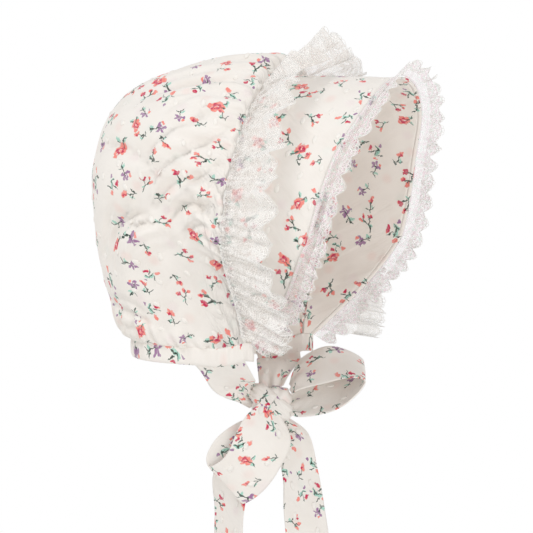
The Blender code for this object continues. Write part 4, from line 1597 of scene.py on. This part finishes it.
# The turn of tie that holds the knot: a smooth band wound slantwise round the bundle
def wrapPoint(u, v):
    slant = math.radians(knot["wrapSlant"])
    along = lookRight * math.cos(slant) - lookUp * math.sin(slant)
    axis = along.cross(back)
    turn = 2 * math.pi * (u + 0.25)
    ray = along * math.cos(turn) + back * math.sin(turn)
    k = 2 * v - 1
    reach = knotReach(bowSpin.transposed() @ ray, knot["grow"])
    rise = knot["wrapRise"] * (1 - 0.8 * k**4)
    rise += knot["wrapPleat"] * math.cos(4.2 * math.pi * (k + 0.25 * math.sin(turn)))
    rise += knot["wrapStray"] * noise.noise(Vector((math.cos(turn) * 2, math.sin(turn) * 2, k * 1.5)))
    return knotCentre + ray * (reach * (1 - 0.10 * k * k) + rise) + axis * (k * knot["wrapWidth"] / 2)


def addWrap():
    columns, rows = 96, 18
    span = 2 * math.pi * knot["length"] / 2
    wide = knot["wrapWidth"]
    x, y = knot["wrapPrint"]
    piece = clothGrid("knotBand", columns, rows, wrapPoint, lambda u, v: (u * span + x, v * wide + y))
    thicken(piece, knot["wrapWall"], -1.0, (tieCotton,))
    settle(piece, None)
    length = rowLength(wrapPoint, 60, 0.5)


addKnot()
addWrap()
print("ties, knot and bow made")


# ---- woven spots: small raised ovals of thread all over the cloth

spots = {
    "spacing": 0.0160,
    "length": 0.0044,
    "width": 0.0026,
    "height": 0.00042,
    "apart": 0.72,  # least share of the spacing between two
    "seed": 11,
}
# soft unspun cotton, matt
spotThread = threadMaterial("raised cotton spot", {
    "colour": "F6F2EC",
    "roughness": 0.9,
    "sheen": 0.4,
    "scale": 1800.0,
    "detail": 3.0,
    "strength": 0.7,
    "rise": 0.0002,
})


def scatterSpots(name, surfaces):
    chance = random.Random(spots["seed"])
    taken = []
    bm = bmesh.new()
    for surface, length, lift, facing in surfaces:
        rows = max(2, round(length / (spots["spacing"] * 0.8)))
        for j in range(rows):
            v = (j + 0.5) / rows
            count = max(1, round(rowLength(surface, 24, v) / spots["spacing"]))
            for i in range(count):
                u = (i + 0.25 + 0.5 * (j % 2) + chance.uniform(-0.08, 0.08)) / count
                if not 0.01 < u < 0.99:
                    continue
                spot = surface(u, v)
                if any((spot - other).length < spots["spacing"] * spots["apart"] for other in taken):
                    continue
                taken.append(spot)
                along = (surface(min(u + 0.004, 1), v) - surface(max(u - 0.004, 0), v)).normalized()
                over = surface(u, min(v + 0.01, 1)) - surface(u, max(v - 0.01, 0))
                up = along.cross(over).normalized() * facing
                beside = up.cross(along)
                turn = chance.uniform(-0.3, 0.3)
                axis = along * math.cos(turn) + beside * math.sin(turn)
                cross = up.cross(axis)
                matrix = Matrix((axis, cross, up)).transposed().to_4x4()
                matrix.translation = spot + up * lift
                made = bmesh.ops.create_icosphere(bm, subdivisions=2, radius=1.0)
                grow = chance.uniform(0.8, 1.15)
                size = Vector((spots["length"] / 2 * grow, spots["width"] / 2, spots["height"]))
                for vert in made["verts"]:
                    rough = [a * b * chance.uniform(0.88, 1.12) for a, b in zip(vert.co, size)]
                    vert.co = matrix @ Vector(rough)
    for face in bm.faces:
        face.smooth = True
    piece = finishMesh(name, bm)
    piece.data.materials.append(spotThread)
    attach(piece, "root")
    return piece


crownSpots = scatterSpots("crownSpots", [(crownPoint, 0.30, 0.0, 1)])
brimSpots = scatterSpots("brimSpots", [(brimPoint, 0.058, 0.0, 1)])
scatterSpots("tieSpots", [(surface, 0.028, 0.0005, 1) for piece, surface in tieStrips])
print("woven spots made")


# ---- the cloth as it was cut

for piece, surface in tieStrips:
    length = rowLength(surface, 60, 0.5)
    print(piece.name, "length", round(length, 4))
